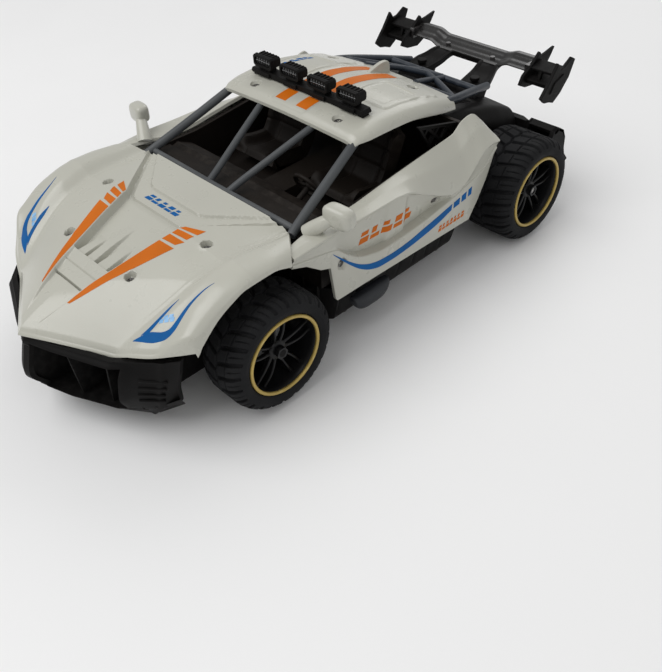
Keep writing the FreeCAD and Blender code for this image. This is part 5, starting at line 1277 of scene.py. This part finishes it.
def endplate_form(side):
    """Spiked double end plate tied by webs, with raised frames on its outer face."""
    inner = [(230.0, 77.0), (233.0, 82.4), (237.0, 84.4), (241.4, 87.0), (248.4, 92.6), (250.6, 89.4),
             (256.0, 90.0),
             (263.8, 91.4), (260.4, 86.4), (257.6, 83.0), (255.0, 78.4), (252.6, 75.6), (246.0, 72.6),
             (236.0, 74.0)]
    outer = [(225.0, 75.4), (229.0, 80.0), (232.6, 84.0), (236.0, 88.6), (239.4, 93.2), (242.6, 88.4),
             (247.0, 89.0), (253.6, 92.6), (257.4, 90.4), (255.0, 85.0), (253.0, 80.4), (249.0, 76.4),
             (246.0, 73.0), (239.0, 68.6), (234.0, 70.6), (229.4, 71.6)]
    form = Form()
    form.plate(inner, "x", side * 47.0, side * 49.2)
    form.plate(outer, "x", side * 66.0, side * 68.2)
    form.plate([(236.0, 77.0), (249.0, 79.0), (250.0, 81.4), (236.0, 79.6)], "x", side * 48.0, side * 67.0)
    form.plate([(240.0, 84.0), (249.0, 86.6), (249.4, 88.0), (240.0, 85.6)], "x", side * 48.0, side * 67.0)
    form.plate([(238.0, 79.0), (241.0, 79.4), (243.0, 85.6), (240.0, 85.0)], "x", side * 55.0, side * 57.0)
    form.plate([(233.0, 76.0), (237.0, 82.0), (246.0, 85.0), (249.0, 80.0), (241.0, 74.6)], "x",
               side * 68.0, side * 68.9)
    return form


TRAY = (
    (-60.0, 30.0, 36.0, 24.0), (-46.0, 40.0, 44.0, 26.0), (-34.0, 42.0, 44.0, 26.0),
    (38.0, 42.0, 44.0, 26.0), (46.0, 50.0, 60.0, 33.0), (52.0, 63.6, 69.5, 34.5), (150.0, 63.6, 69.5, 33.0),
    (158.0, 52.0, 60.0, 33.0),
    (166.0, 44.0, 46.5, 28.4), (228.0, 42.0, 45.0, 28.4), (236.0, 34.0, 42.0, 27.0))
COVER_HOLE = ((-33.3, 33.3), (75.7, 134.3))
SWITCH_HOLE = ((-46.6, -41.4), (56.0, 64.0))
TRIM_HOLE = ((-4.4, 4.4), (24.0, 41.0))


def tray_form():
    """Boat-shaped chassis tray with sloped sides, and openings for the cover, the switch and the lever."""
    holes = (COVER_HOLE, SWITCH_HOLE, TRIM_HOLE)
    rows = np.unique(np.round(np.concatenate([np.arange(-60.0, 236.1, 1.6), [236.0]]
            + [list(h[1]) for h in holes]), 3))
    marks = sorted({abs(v) for h in holes for v in h[0]})
    flat = np.unique(np.concatenate([np.linspace(0.0, 33.3, 16), marks]))
    rise = np.linspace(0.0, 1.0, 22)[1:]
    half = np.concatenate([flat, 100.0 + rise])
    across = np.concatenate([-half[::-1], half[1:]])
    u = np.abs(across)[None, :]
    y = np.repeat(rows[:, None], len(across), 1)
    low, high, top = (flow([(s[0], s[n]) for s in TRAY], y) for n in (1, 2, 3))
    low_flat = np.minimum(u, low - 1.0)
    t = np.clip(u - 100.0, 0.0, 1.0)
    reach = np.maximum(low - 47.0, 0.0)
    edge_x = np.where(t < 0.4, np.minimum(46.6, low - 1.0) + (reach + 1.0) * (t / 0.4), low + (high - low)
                      * np.clip((t - 0.4) / 0.6, 0.0, 1.0) ** 0.8)
    x = np.sign(across)[None, :] * np.where(u < 100.0, low_flat, edge_x)
    z = 10.0 + np.where(u < 100.0, 0.0, (top - 10.0) * np.clip((t - 0.4) / 0.6, 0.0, 1.0))
    groove = ridge(0.0, 0.5, (y % 12.0) - 6.0, 0.3) * (z > 14.0)
    sheet = np.stack([x - np.sign(x) * 0.6 * groove, y, z], -1)
    back_of = sheet.copy()
    back_of[..., 0] -= np.sign(x) * 2.2 * np.where(u < 100.0, 0.0, np.clip((t - 0.3) / 0.3, 0.0, 1.0))
    back_of[..., 2] += np.where(z < 10.2, 2.4, 1.0 * (1.0 - np.clip((t - 0.4) / 0.6, 0.0, 1.0)))
    mid = (sheet[1:, 1:] + sheet[:-1, :-1]) / 2.0
    kept = np.ones(mid.shape[:2], bool)
    for (x0, x1), (y0, y1) in holes:
        kept &= ~((mid[..., 0] > x0) & (mid[..., 0] < x1) & (mid[..., 1] > y0) & (mid[..., 1] < y1)
                  & (mid[..., 2] < 11.0))
    form = Form().shell(sheet, back_of, kept)
    for x0, x1, y0, y1 in ((-35.6, -33.4, 74.0, 136.0), (33.4, 35.6, 74.0, 136.0),
                           (-35.6, 35.6, 73.4, 75.6), (-35.6, 35.6, 134.4, 136.6)):
        form.block((x0, x1), (y0, y1), (12.0, 30.0))
    for n in range(9):
        form.block((-38.0, 38.0), (146.0 + 9.0 * n, 147.4 + 9.0 * n), (12.0, 14.6))
    return form


def splash_form():
    """Upright guards that close the wheel bays off from the inside."""
    form = Form()
    form.plate([(-60.0, 44.6), (60.0, 44.6), (60.0, 46.4), (-60.0, 46.4)], "z", 13.0, 37.0)
    for n in range(11):
        x = -50.0 + 10.0 * n
        form.block((x - 0.6, x + 0.6), (43.6, 45.0), (14.0, 36.6))
    return form


# --- wheels -----------------------------------------------------------------------------------
TREAD_TURNS = 704
HUB_START = 61.0
FRONT_TYRE = (58.0, 86.0)
REAR_TYRE = (53.0, 90.0)
SPOKE_PAIRS = 5


def tyre_form(span, y, pitches, depth):
    """Balloon tyre: slanted blocks on both shoulders, a zigzag middle groove and a smooth side wall."""
    inner, outer = span
    centre, half = (inner + outer) / 2.0, (outer - inner) / 2.0
    wall = [(-half + 2.2, 21.9), (-half + 0.9, 22.6), (-half + 0.2, 24.2), (-half, 25.8),
            (-half + 0.3, 27.4),
            (-half + 1.0, 29.0), (-half + 2.2, 30.4), (-half + 3.8, 31.3), (-half + 5.8, 31.8)]
    tread = np.linspace(-half + 5.8, half - 5.8, 46)[1:-1]
    side = bent(wall, 26)
    crown = np.column_stack([tread, 31.8 + 0.25 * (1.0 - (tread / half) ** 2)])
    lining = [(half - 3.6, 21.9), (half - 3.6, 25.4), (half - 6.0, 27.0), (-half + 6.0, 27.0),
              (-half + 3.6, 25.4), (-half + 3.6, 21.9)]
    profile = np.concatenate([side, crown, side[::-1] * (-1.0, 1.0), lining])
    profile[:, 0] += centre

    def swell(angle, x, radius):
        u = (x - centre) / half
        v = angle * pitches / math.tau
        outer_half = (u > 0.0) * 0.5
        lean = 0.62 * np.abs(u)
        phase = (v + outer_half + lean) % 1.0
        slant = ridge(0.5, 0.125, phase, 0.035)
        slant = slant * step(0.07, 0.11, np.abs(u))
        sipe = (ridge(0.5, 0.028, (v + outer_half + lean + 0.5) % 1.0, 0.02)
                * step(0.5, 0.55, np.abs(u)) * 0.4)
        zigzag = (np.abs((v * 2.0) % 2.0 - 1.0) - 0.5) * 0.09
        middle_groove = ridge(0.0, 0.035, u - zigzag, 0.02) * 0.8
        rows = ridge(0.44, 0.018, np.abs(u), 0.012) * 0.45
        cut = np.maximum(np.maximum(slant, sipe), np.maximum(middle_groove, rows))
        on_tread = step(27.6, 29.4, radius)
        outside = (radius > 27.2) & (np.abs(u) < 1.01)
        return -depth * cut * on_tread * outside
    return Form().lathe(profile, y, TREAD_TURNS, swell)


def rim_form(span, y):
    """Dished rim: a barrel with a rolled lip, a hub and pairs of thin curved spokes."""
    inner, outer = span
    face = outer - 6.0
    form = Form()
    form.lathe([(inner + 2.0, 21.9), (inner + 2.4, 22.4), (inner + 3.0, 21.95), (outer - 3.4, 21.95),
                (outer - 2.6, 22.2), (outer - 2.0, 21.9), (outer - 2.0, 20.9), (outer - 2.8, 20.4),
                (outer - 5.0, 20.0), (outer - 9.0, 19.2), (inner + 12.0, 18.4), (inner + 4.0, 19.8),
                (inner + 2.0, 20.2)], y, 128)
    form.lathe([(HUB_START, 2.1), (HUB_START, 5.0), (face - 4.0, 5.2), (face - 1.0, 5.6), (face - 0.4, 5.0),
                (face - 0.2, 4.6), (face, 2.1)], y, 72)
    for pair in range(SPOKE_PAIRS):
        for lean in (-1.0, 1.0):
            turn = math.tau * pair / SPOKE_PAIRS + 0.2
            rings = []
            for t in np.linspace(0.0, 1.0, 14):
                radius = 4.4 + (20.3 - 4.4) * t
                swing = lean * (1.5 + 1.6 * t) + 0.5 * math.sin(math.pi * t) * lean
                wide = 0.95 - 0.25 * math.sin(math.pi * t)
                out_x = face - 0.6 + 1.0 * math.sin(math.pi * min(1.0, t * 1.1)) + 1.2 * t * t
                deep = 2.8 - 0.8 * t
                ring = []
                for a, b in ((-wide, -deep), (wide, -deep), (wide, -0.5), (wide * 0.5, 0.0),
                             (-wide * 0.5, 0.0), (-wide, -0.5)):
                    lateral = swing + a
                    ring.append((out_x + b, y + radius * math.cos(turn) - lateral * math.sin(turn),
                                 AXLE_Z + radius * math.sin(turn) + lateral * math.cos(turn)))
                rings.append(ring)
            form.loft(rings)
    return form


def ring_form(span, y):
    """Bright ring around the rim."""
    outer = span[1]
    section = [(outer - 1.15 + 1.0 * math.cos(a), 21.15 + 0.95 * math.sin(a))
               for a in np.linspace(0.0, math.tau, 18, endpoint=False)]
    return Form().lathe(section, y, 144)


# --- add-on ---------------------------------------------------------------------------------
class CarPaint(bpy.types.PropertyGroup):
    """Colours of the car."""

    shell: bpy.props.FloatVectorProperty(name="Shell", description="Cream white of the painted panels",
                                         subtype="COLOR", default=(0.480, 0.476, 0.415), min=0.0, max=1.0)
    orange: bpy.props.FloatVectorProperty(name="Orange", description="Orange of the printed stripes",
                                          subtype="COLOR", default=(0.60, 0.140, 0.004), min=0.0, max=1.0)
    blue: bpy.props.FloatVectorProperty(name="Blue", description="Blue of the printed lamps and swooshes",
                                        subtype="COLOR", default=(0.001, 0.105, 0.34), min=0.0, max=1.0)
    ring: bpy.props.FloatVectorProperty(name="Ring", description="Dull gold of the wheel rings",
                                        subtype="COLOR", default=(0.50, 0.36, 0.09), min=0.0, max=1.0)


class TreadMake(bpy.types.PropertyGroup):
    """Tread of the tyres."""

    pitches: bpy.props.IntProperty(name="Pitches", description="Tread blocks around each tyre", default=24,
            min=8, max=40)
    depth: bpy.props.FloatProperty(name="Depth", description="Depth of the tread grooves, in millimetres",
                                   default=1.8, min=0.5, max=4.0)


class StudioLight(bpy.types.PropertyGroup):
    """Light and background of the stage."""

    key: bpy.props.FloatProperty(name="Key", description="Power of the large overhead light", default=5.4,
                                 subtype="POWER", min=0.0)
    fill: bpy.props.FloatProperty(name="Fill", description="Strength of the surrounding light",
                                  default=0.46, min=0.0)
    floor_size: bpy.props.FloatProperty(name="Floor", description="Half width of the floor", default=6.0,
                                        unit="LENGTH", min=0.5)


class MakesPieces:
    """Shared parts of every operator here."""

    bl_options = {"REGISTER"}

    def check_frame(self, *nodes):
        """Stops when the frame lacks a node that the pieces stand for."""
        missing = [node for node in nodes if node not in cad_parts]
        if missing:
            raise RuntimeError("the frame has no node " + ", ".join(missing))


class RACECAR_OT_hood(MakesPieces, bpy.types.Operator):
    """Makes the hood with its trough, slats, ribs and cowl steps."""

    bl_idname = "racecar.hood"
    bl_label = "Hood"

    def execute(self, context):
        self.check_frame("hood_panel")
        make("hood", hood_form(), coat_of("white_shell"), "chassis", "hood_panel", slot="white_panel",
             sharp=30.0)
        return {"FINISHED"}


class RACECAR_OT_doors(MakesPieces, bpy.types.Operator):
    """Makes both doors with their ledge, hollow and shoulder."""

    bl_idname = "racecar.doors"
    bl_label = "Doors"

    def execute(self, context):
        self.check_frame("door_left", "door_right")
        left = door_form()
        make("door_left_panel", left, coat_of("white_shell"), "chassis", "door_left", slot="white_panel",
             sharp=26.0)
        make("door_right_panel", left.other_side(), coat_of("white_shell"), "chassis", "door_right",
             slot="white_panel", sharp=26.0)
        return {"FINISHED"}


class RACECAR_OT_roof(MakesPieces, bpy.types.Operator):
    """Makes the roof with its pads and the fin at its back."""

    bl_idname = "racecar.roof"
    bl_label = "Roof"

    def execute(self, context):
        self.check_frame("roof_panel")
        make("roof", roof_form(), coat_of("white_shell"), "chassis", "roof_panel", slot="white_panel",
             sharp=30.0)
        make("roof_fin", roof_fin(), coat_of("white_shell"), "chassis", bevel=0.5, slot="white_panel")
        return {"FINISHED"}


class RACECAR_OT_prints(MakesPieces, bpy.types.Operator):
    """Lays the printed stripes, lamps, swooshes and generic bars on the panels."""

    bl_idname = "racecar.prints"
    bl_label = "Prints"

    def execute(self, context):
        orange, blue, pale = coat_of("orange_print"), coat_of("blue_print"), coat_of("pale_print")
        make("hood_stripes", hood_stripes(), orange, "chassis", slot="white_panel")
        make("hood_lamp_prints", lamp_flames(), blue, "chassis", slot="white_panel")
        make("hood_lamp_squares", lamp_squares(), pale, "chassis", slot="white_panel")
        make("hood_bars", hood_bars(), blue, "chassis", slot="white_panel")
        make("roof_stripes", roof_stripes(), orange, "chassis", slot="white_panel")
        make("roof_bars", roof_bars(), blue, "chassis", slot="white_panel")
        for label, form, coat in (("swoosh", door_swoosh(), blue), ("bars", door_bars(), orange),
                                  ("small_bars", door_small_bars(), orange)):
            make("door_left_" + label, form, coat, "chassis", slot="white_panel")
            make("door_right_" + label, form.other_side(), coat, "chassis", slot="white_panel")
        return {"FINISHED"}


class RACECAR_OT_lamps(MakesPieces, bpy.types.Operator):
    """Makes the light bar with its rail, housings and lenses."""

    bl_idname = "racecar.lamps"
    bl_label = "Light Bar"

    def execute(self, context):
        self.check_frame("light_bar_rail", "light_bar_lamps", "lamp_lenses")
        make("lamp_rail", rail_form(), coat_of("black_moulding"), "chassis", "light_bar_rail", bevel=0.35,
             slot="black_moulding")
        make("lamp_housings", lamp_form(), coat_of("black_moulding"), "chassis", "light_bar_lamps",
             bevel=0.22, slot="black_moulding")
        make("lamp_glasses", lens_form(), coat_of("lamp_glass"), "chassis", "lamp_lenses", slot="lens")
        return {"FINISHED"}


class RACECAR_OT_mirrors(MakesPieces, bpy.types.Operator):
    """Makes the rounded door mirrors."""

    bl_idname = "racecar.mirrors"
    bl_label = "Mirrors"

    def execute(self, context):
        self.check_frame("mirrors")
        make("mirror_pair", mirror_form(), coat_of("white_shell"), "chassis", "mirrors", slot="white_panel",
             sharp=60.0)
        return {"FINISHED"}


class RACECAR_OT_cage(MakesPieces, bpy.types.Operator):
    """Makes the round tubes of the roll cage."""

    bl_idname = "racecar.cage"
    bl_label = "Roll Cage"

    def execute(self, context):
        self.check_frame("windscreen_cage", "rear_cage")
        make("cage_front_tubes", cage_front_form(), coat_of("cage_grey"), "chassis", "windscreen_cage",
             slot="grey_tube", sharp=50.0)
        make("cage_rear_tubes", cage_rear_form(), coat_of("stay_blue_grey"), "chassis", "rear_cage",
             slot="grey_tube", sharp=50.0)
        return {"FINISHED"}


class RACECAR_OT_cabin(MakesPieces, bpy.types.Operator):
    """Makes the bucket seats; the frame must hold the cabin mouldings too."""

    bl_idname = "racecar.cabin"
    bl_label = "Cabin"

    def execute(self, context):
        self.check_frame("seats", "cockpit_tub", "dashboard", "steering_wheel")
        make("bucket_seats", seat_form(), coat_of("cabin_moulding"), "chassis", "seats",
             slot="black_moulding", sharp=45.0)
        return {"FINISHED"}


class RACECAR_OT_bumpers(MakesPieces, bpy.types.Operator):
    """Makes the front bumper, the rear guard, the tray with its splash guard and the side steps."""

    bl_idname = "racecar.bumpers"
    bl_label = "Bumpers"

    def execute(self, context):
        self.check_frame("front_bumper", "rear_bumper", "chassis_tray", "side_steps")
        make("bumper", bumper_form(), coat_of("black_moulding"), "chassis", "front_bumper",
             slot="black_moulding", sharp=28.0)
        make("rear_guard", rear_guard_form(), coat_of("black_moulding"), "chassis", "rear_bumper",
             bevel=0.4, slot="black_moulding")
        make("tray_hull", tray_form(), coat_of("black_moulding"), "chassis", "chassis_tray",
             slot="black_moulding", sharp=30.0)
        make("splash_guard", splash_form(), coat_of("black_moulding"), "chassis", bevel=0.2,
             slot="black_moulding")
        make("foot_steps", step_form(), coat_of("step_grey"), "chassis", "side_steps", slot="grey_tube",
             sharp=60.0)
        return {"FINISHED"}


class RACECAR_OT_tail(MakesPieces, bpy.types.Operator):
    """Makes the rear deck and the wing with its bracket, blade and end plates."""

    bl_idname = "racecar.tail"
    bl_label = "Tail and Wing"

    def execute(self, context):
        self.check_frame("rear_deck", "wing_struts", "wing_blade", "wing_endplate_left",
                         "wing_endplate_right")
        black = coat_of("black_moulding")
        make("deck", deck_form(), black, "chassis", "rear_deck", slot="black_moulding", sharp=30.0)
        make("wing_bracket", bracket_form(), black, "chassis", "wing_struts", bevel=0.4, slot="wing_black")
        make("wing_plane", blade_form(), coat_of("wing_satin"), "chassis", "wing_blade", slot="wing_black",
             sharp=40.0)
        for side, label in ((1.0, "left"), (-1.0, "right")):
            make("wing_plate_" + label, endplate_form(side), black, "chassis", "wing_endplate_" + label,
                 bevel=0.45, slot="wing_black")
        return {"FINISHED"}


class RACECAR_OT_wheels(MakesPieces, bpy.types.Operator):
    """Makes the tyres, rims and bright rings of the four wheels."""

    bl_idname = "racecar.wheels"
    bl_label = "Wheels"

    def execute(self, context):
        self.check_frame("tyre_front_left", "rim_front_left", "rim_ring_front_left", "tyre_rear_left",
                         "rim_rear_left", "rim_rings_rear")
        tread = context.scene.car_tread
        rubber, satin, gold = coat_of("tyre_rubber"), coat_of("rim_satin"), coat_of("ring_gold")
        for end, span, y in (("front", FRONT_TYRE, 0.0), ("rear", REAR_TYRE, REAR_Y)):
            tyre = tyre_form(span, y, tread.pitches, tread.depth)
            rim, ring = rim_form(span, y), ring_form(span, y)
            for side, turned in (("left", False), ("right", True)):
                body = "wheel_front_" + side if end == "front" else "rear_axle"
                make("tyre_" + end + "_" + side + "_tread", tyre.other_side() if turned else tyre, rubber,
                     body, "tyre_" + end + "_" + side, slot="tyre", sharp=38.0)
                make("rim_" + end + "_" + side + "_spokes", rim.other_side() if turned else rim, satin,
                     body, "rim_" + end + "_" + side, slot="rim_black", bevel=0.15)
                if end == "front":
                    make("ring_front_" + side, ring.other_side() if turned else ring, gold, body,
                         "rim_ring_front_" + side, slot="ring_gold", sharp=60.0)
        make("ring_rear_pair", ring.mirrored(), gold, "rear_axle", "rim_rings_rear", slot="ring_gold",
             sharp=60.0)
        return {"FINISHED"}


class RACECAR_OT_screws(MakesPieces, bpy.types.Operator):
    """Makes the cross-head panel screws."""

    bl_idname = "racecar.screws"
    bl_label = "Panel Screws"

    def execute(self, context):
        self.check_frame("body_screws")
        make("panel_screws", screw_form(), coat_of("screw_dark"), "chassis", "body_screws", slot="steel",
             sharp=40.0)
        return {"FINISHED"}


INNER_FINISHES = {
    "cockpit_tub": "cabin_moulding", "dashboard": "cabin_moulding", "steering_wheel": "cabin_moulding",
    "lattice_left": "black_moulding", "lattice_right": "black_moulding",
    "battery_cover": "black_moulding", "front_beam": "black_moulding", "knuckle_left": "black_moulding",
    "knuckle_right": "black_moulding", "tie_rod": "black_moulding", "servo_horn": "black_moulding",
    "steering_servo": "black_moulding", "gearbox_left_half": "black_moulding",
    "gearbox_right_half": "black_moulding", "power_switch_knob": "step_grey", "trim_lever": "step_grey",
    "chassis_screws": "screw_dark", "rear_axle_shaft": "steel", "wheel_nut_front_left": "rim_satin",
    "wheel_nut_front_right": "rim_satin", "wheel_nuts_rear": "rim_satin", "motor_can": "steel",
    "motor_pinion": "brass", "axle_bushes": "brass", "axle_gear": "gear_nylon", "idler_gear": "gear_nylon",
    "circuit_board": "board_green", "battery_cells": "cell_wrap",
}


class RACECAR_OT_inner_parts(MakesPieces, bpy.types.Operator):
    """Gives every carried part its finish."""

    bl_idname = "racecar.inner_parts"
    bl_label = "Carried Parts"

    def execute(self, context):
        self.check_frame(*INNER_FINISHES)
        for node, coat in INNER_FINISHES.items():
            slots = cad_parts[node].data.materials
            for number in range(max(1, len(slots))):
                if len(slots):
                    slots[number] = coat_of(coat)
                else:
                    slots.append(coat_of(coat))
        return {"FINISHED"}


CAMERA_TARGET = (64.18, 48.77, 0.0)
CAMERA_TURN = 47.79
CAMERA_RISE = 41.64
CAMERA_ROLL = -3.31
CAMERA_DISTANCE = 439.0
CAMERA_LENS = 42.69
CAMERA_SENSOR = 36.0
FLOOR_LEVEL = -0.4
# Name, place in metres, width in metres and share of the key light's power.
STUDIO_LAMPS = (
    ("key_light", (-0.35, -0.75, 1.35), 1.5, 2.6),
    ("side_light", (1.35, -0.25, 0.95), 1.2, 0.36),
    ("back_light", (-0.5, 1.5, 1.2), 1.4, 1.3))


class RACECAR_OT_stage(MakesPieces, bpy.types.Operator):
    """Lays the pale floor, the soft light and the camera."""

    bl_idname = "racecar.stage"
    bl_label = "Stage"

    def execute(self, context):
        light = context.scene.car_light
        size = light.floor_size
        mesh = bpy.data.meshes.new("studio_floor")
        level = FLOOR_LEVEL * MM
        mesh.from_pydata([(-size, -size, level), (size, -size, level), (size, size, level),
                          (-size, size, level)], [], [(0, 1, 2, 3)])
        mesh.materials.append(coat_of("pale_floor"))
        floor = bpy.data.objects.new("studio_floor", mesh)
        context.scene.collection.objects.link(floor)
        for label, place, width, share in STUDIO_LAMPS:
            lamp = bpy.data.lights.new(label, "AREA")
            lamp.shape = "DISK"
            lamp.size = width
            lamp.energy = light.key * share
            lamp_object = bpy.data.objects.new(label, lamp)
            lamp_object.location = place
            lamp_object.rotation_euler = (-Vector(place)).to_track_quat("-Z", "Y").to_euler()
            context.scene.collection.objects.link(lamp_object)
        world = bpy.data.worlds.new("studio_world")
        world.use_nodes = True
        world.node_tree.nodes["Background"].inputs["Color"].default_value = (1.0, 1.0, 1.0, 1.0)
        world.node_tree.nodes["Background"].inputs["Strength"].default_value = light.fill
        context.scene.world = world
        context.scene.view_settings.view_transform = "Standard"
        camera = bpy.data.cameras.new("studio_camera")
        camera.lens = CAMERA_LENS
        camera.sensor_width = CAMERA_SENSOR
        camera.clip_start = 0.01
        view = bpy.data.objects.new("studio_camera", camera)
        turn, rise, roll = (math.radians(v) for v in (CAMERA_TURN, CAMERA_RISE, CAMERA_ROLL))
        back = Vector((math.sin(turn) * math.cos(rise), -math.cos(turn) * math.cos(rise), math.sin(rise)))
        right = (-back).cross(Vector((0.0, 0.0, 1.0))).normalized()
        up = right.cross(-back)
        level_x = math.cos(roll) * right + math.sin(roll) * up
        level_y = -math.sin(roll) * right + math.cos(roll) * up
        place = Vector(CAMERA_TARGET) * MM + Vector((0.0, AXLE_Y, 0.0)) + back * CAMERA_DISTANCE * MM
        view.matrix_world = (Matrix.Translation(place)
                             @ Matrix((level_x, level_y, back)).transposed().to_4x4())
        context.scene.collection.objects.link(view)
        context.scene.camera = view
        return {"FINISHED"}


class RACECAR_PT_works(bpy.types.Panel):
    """Panel with the car's settings and one button for each piece."""

    bl_idname = "RACECAR_PT_works"
    bl_label = "Race Car"
    bl_space_type = "VIEW_3D"
    bl_region_type = "UI"
    bl_category = "Race Car"

    def draw(self, context):
        layout = self.layout
        for group, names in (("car_paint", ("shell", "orange", "blue", "ring")),
                             ("car_tread", ("pitches", "depth")),
                             ("car_light", ("key", "fill", "floor_size"))):
            box = layout.box()
            for name in names:
                box.prop(getattr(context.scene, group), name)
        for operator in OPERATORS:
            layout.operator(operator.bl_idname)


OPERATORS = (RACECAR_OT_hood, RACECAR_OT_doors, RACECAR_OT_roof, RACECAR_OT_prints, RACECAR_OT_lamps,
             RACECAR_OT_mirrors, RACECAR_OT_cage, RACECAR_OT_cabin, RACECAR_OT_bumpers, RACECAR_OT_tail,
             RACECAR_OT_wheels, RACECAR_OT_screws, RACECAR_OT_inner_parts, RACECAR_OT_stage)
CLASSES = (CarPaint, TreadMake, StudioLight) + OPERATORS + (RACECAR_PT_works,)


def register():
    for cls in CLASSES:
        bpy.utils.register_class(cls)
    bpy.types.Scene.car_paint = bpy.props.PointerProperty(type=CarPaint)
    bpy.types.Scene.car_tread = bpy.props.PointerProperty(type=TreadMake)
    bpy.types.Scene.car_light = bpy.props.PointerProperty(type=StudioLight)


def unregister():
    for name in ("car_light", "car_tread", "car_paint"):
        delattr(bpy.types.Scene, name)
    for cls in reversed(CLASSES):
        bpy.utils.unregister_class(cls)


def build_car():
    """Registers the add-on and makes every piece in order."""
    register()
    bpy.ops.racecar.hood()
    bpy.ops.racecar.doors()
    bpy.ops.racecar.roof()
    bpy.ops.racecar.prints()
    bpy.ops.racecar.lamps()
    bpy.ops.racecar.mirrors()
    bpy.ops.racecar.cage()
    bpy.ops.racecar.cabin()
    bpy.ops.racecar.bumpers()
    bpy.ops.racecar.tail()
    bpy.ops.racecar.wheels()
    bpy.ops.racecar.screws()
    bpy.ops.racecar.inner_parts()
    bpy.ops.racecar.stage()


if __name__ == "__main__":
    build_car()
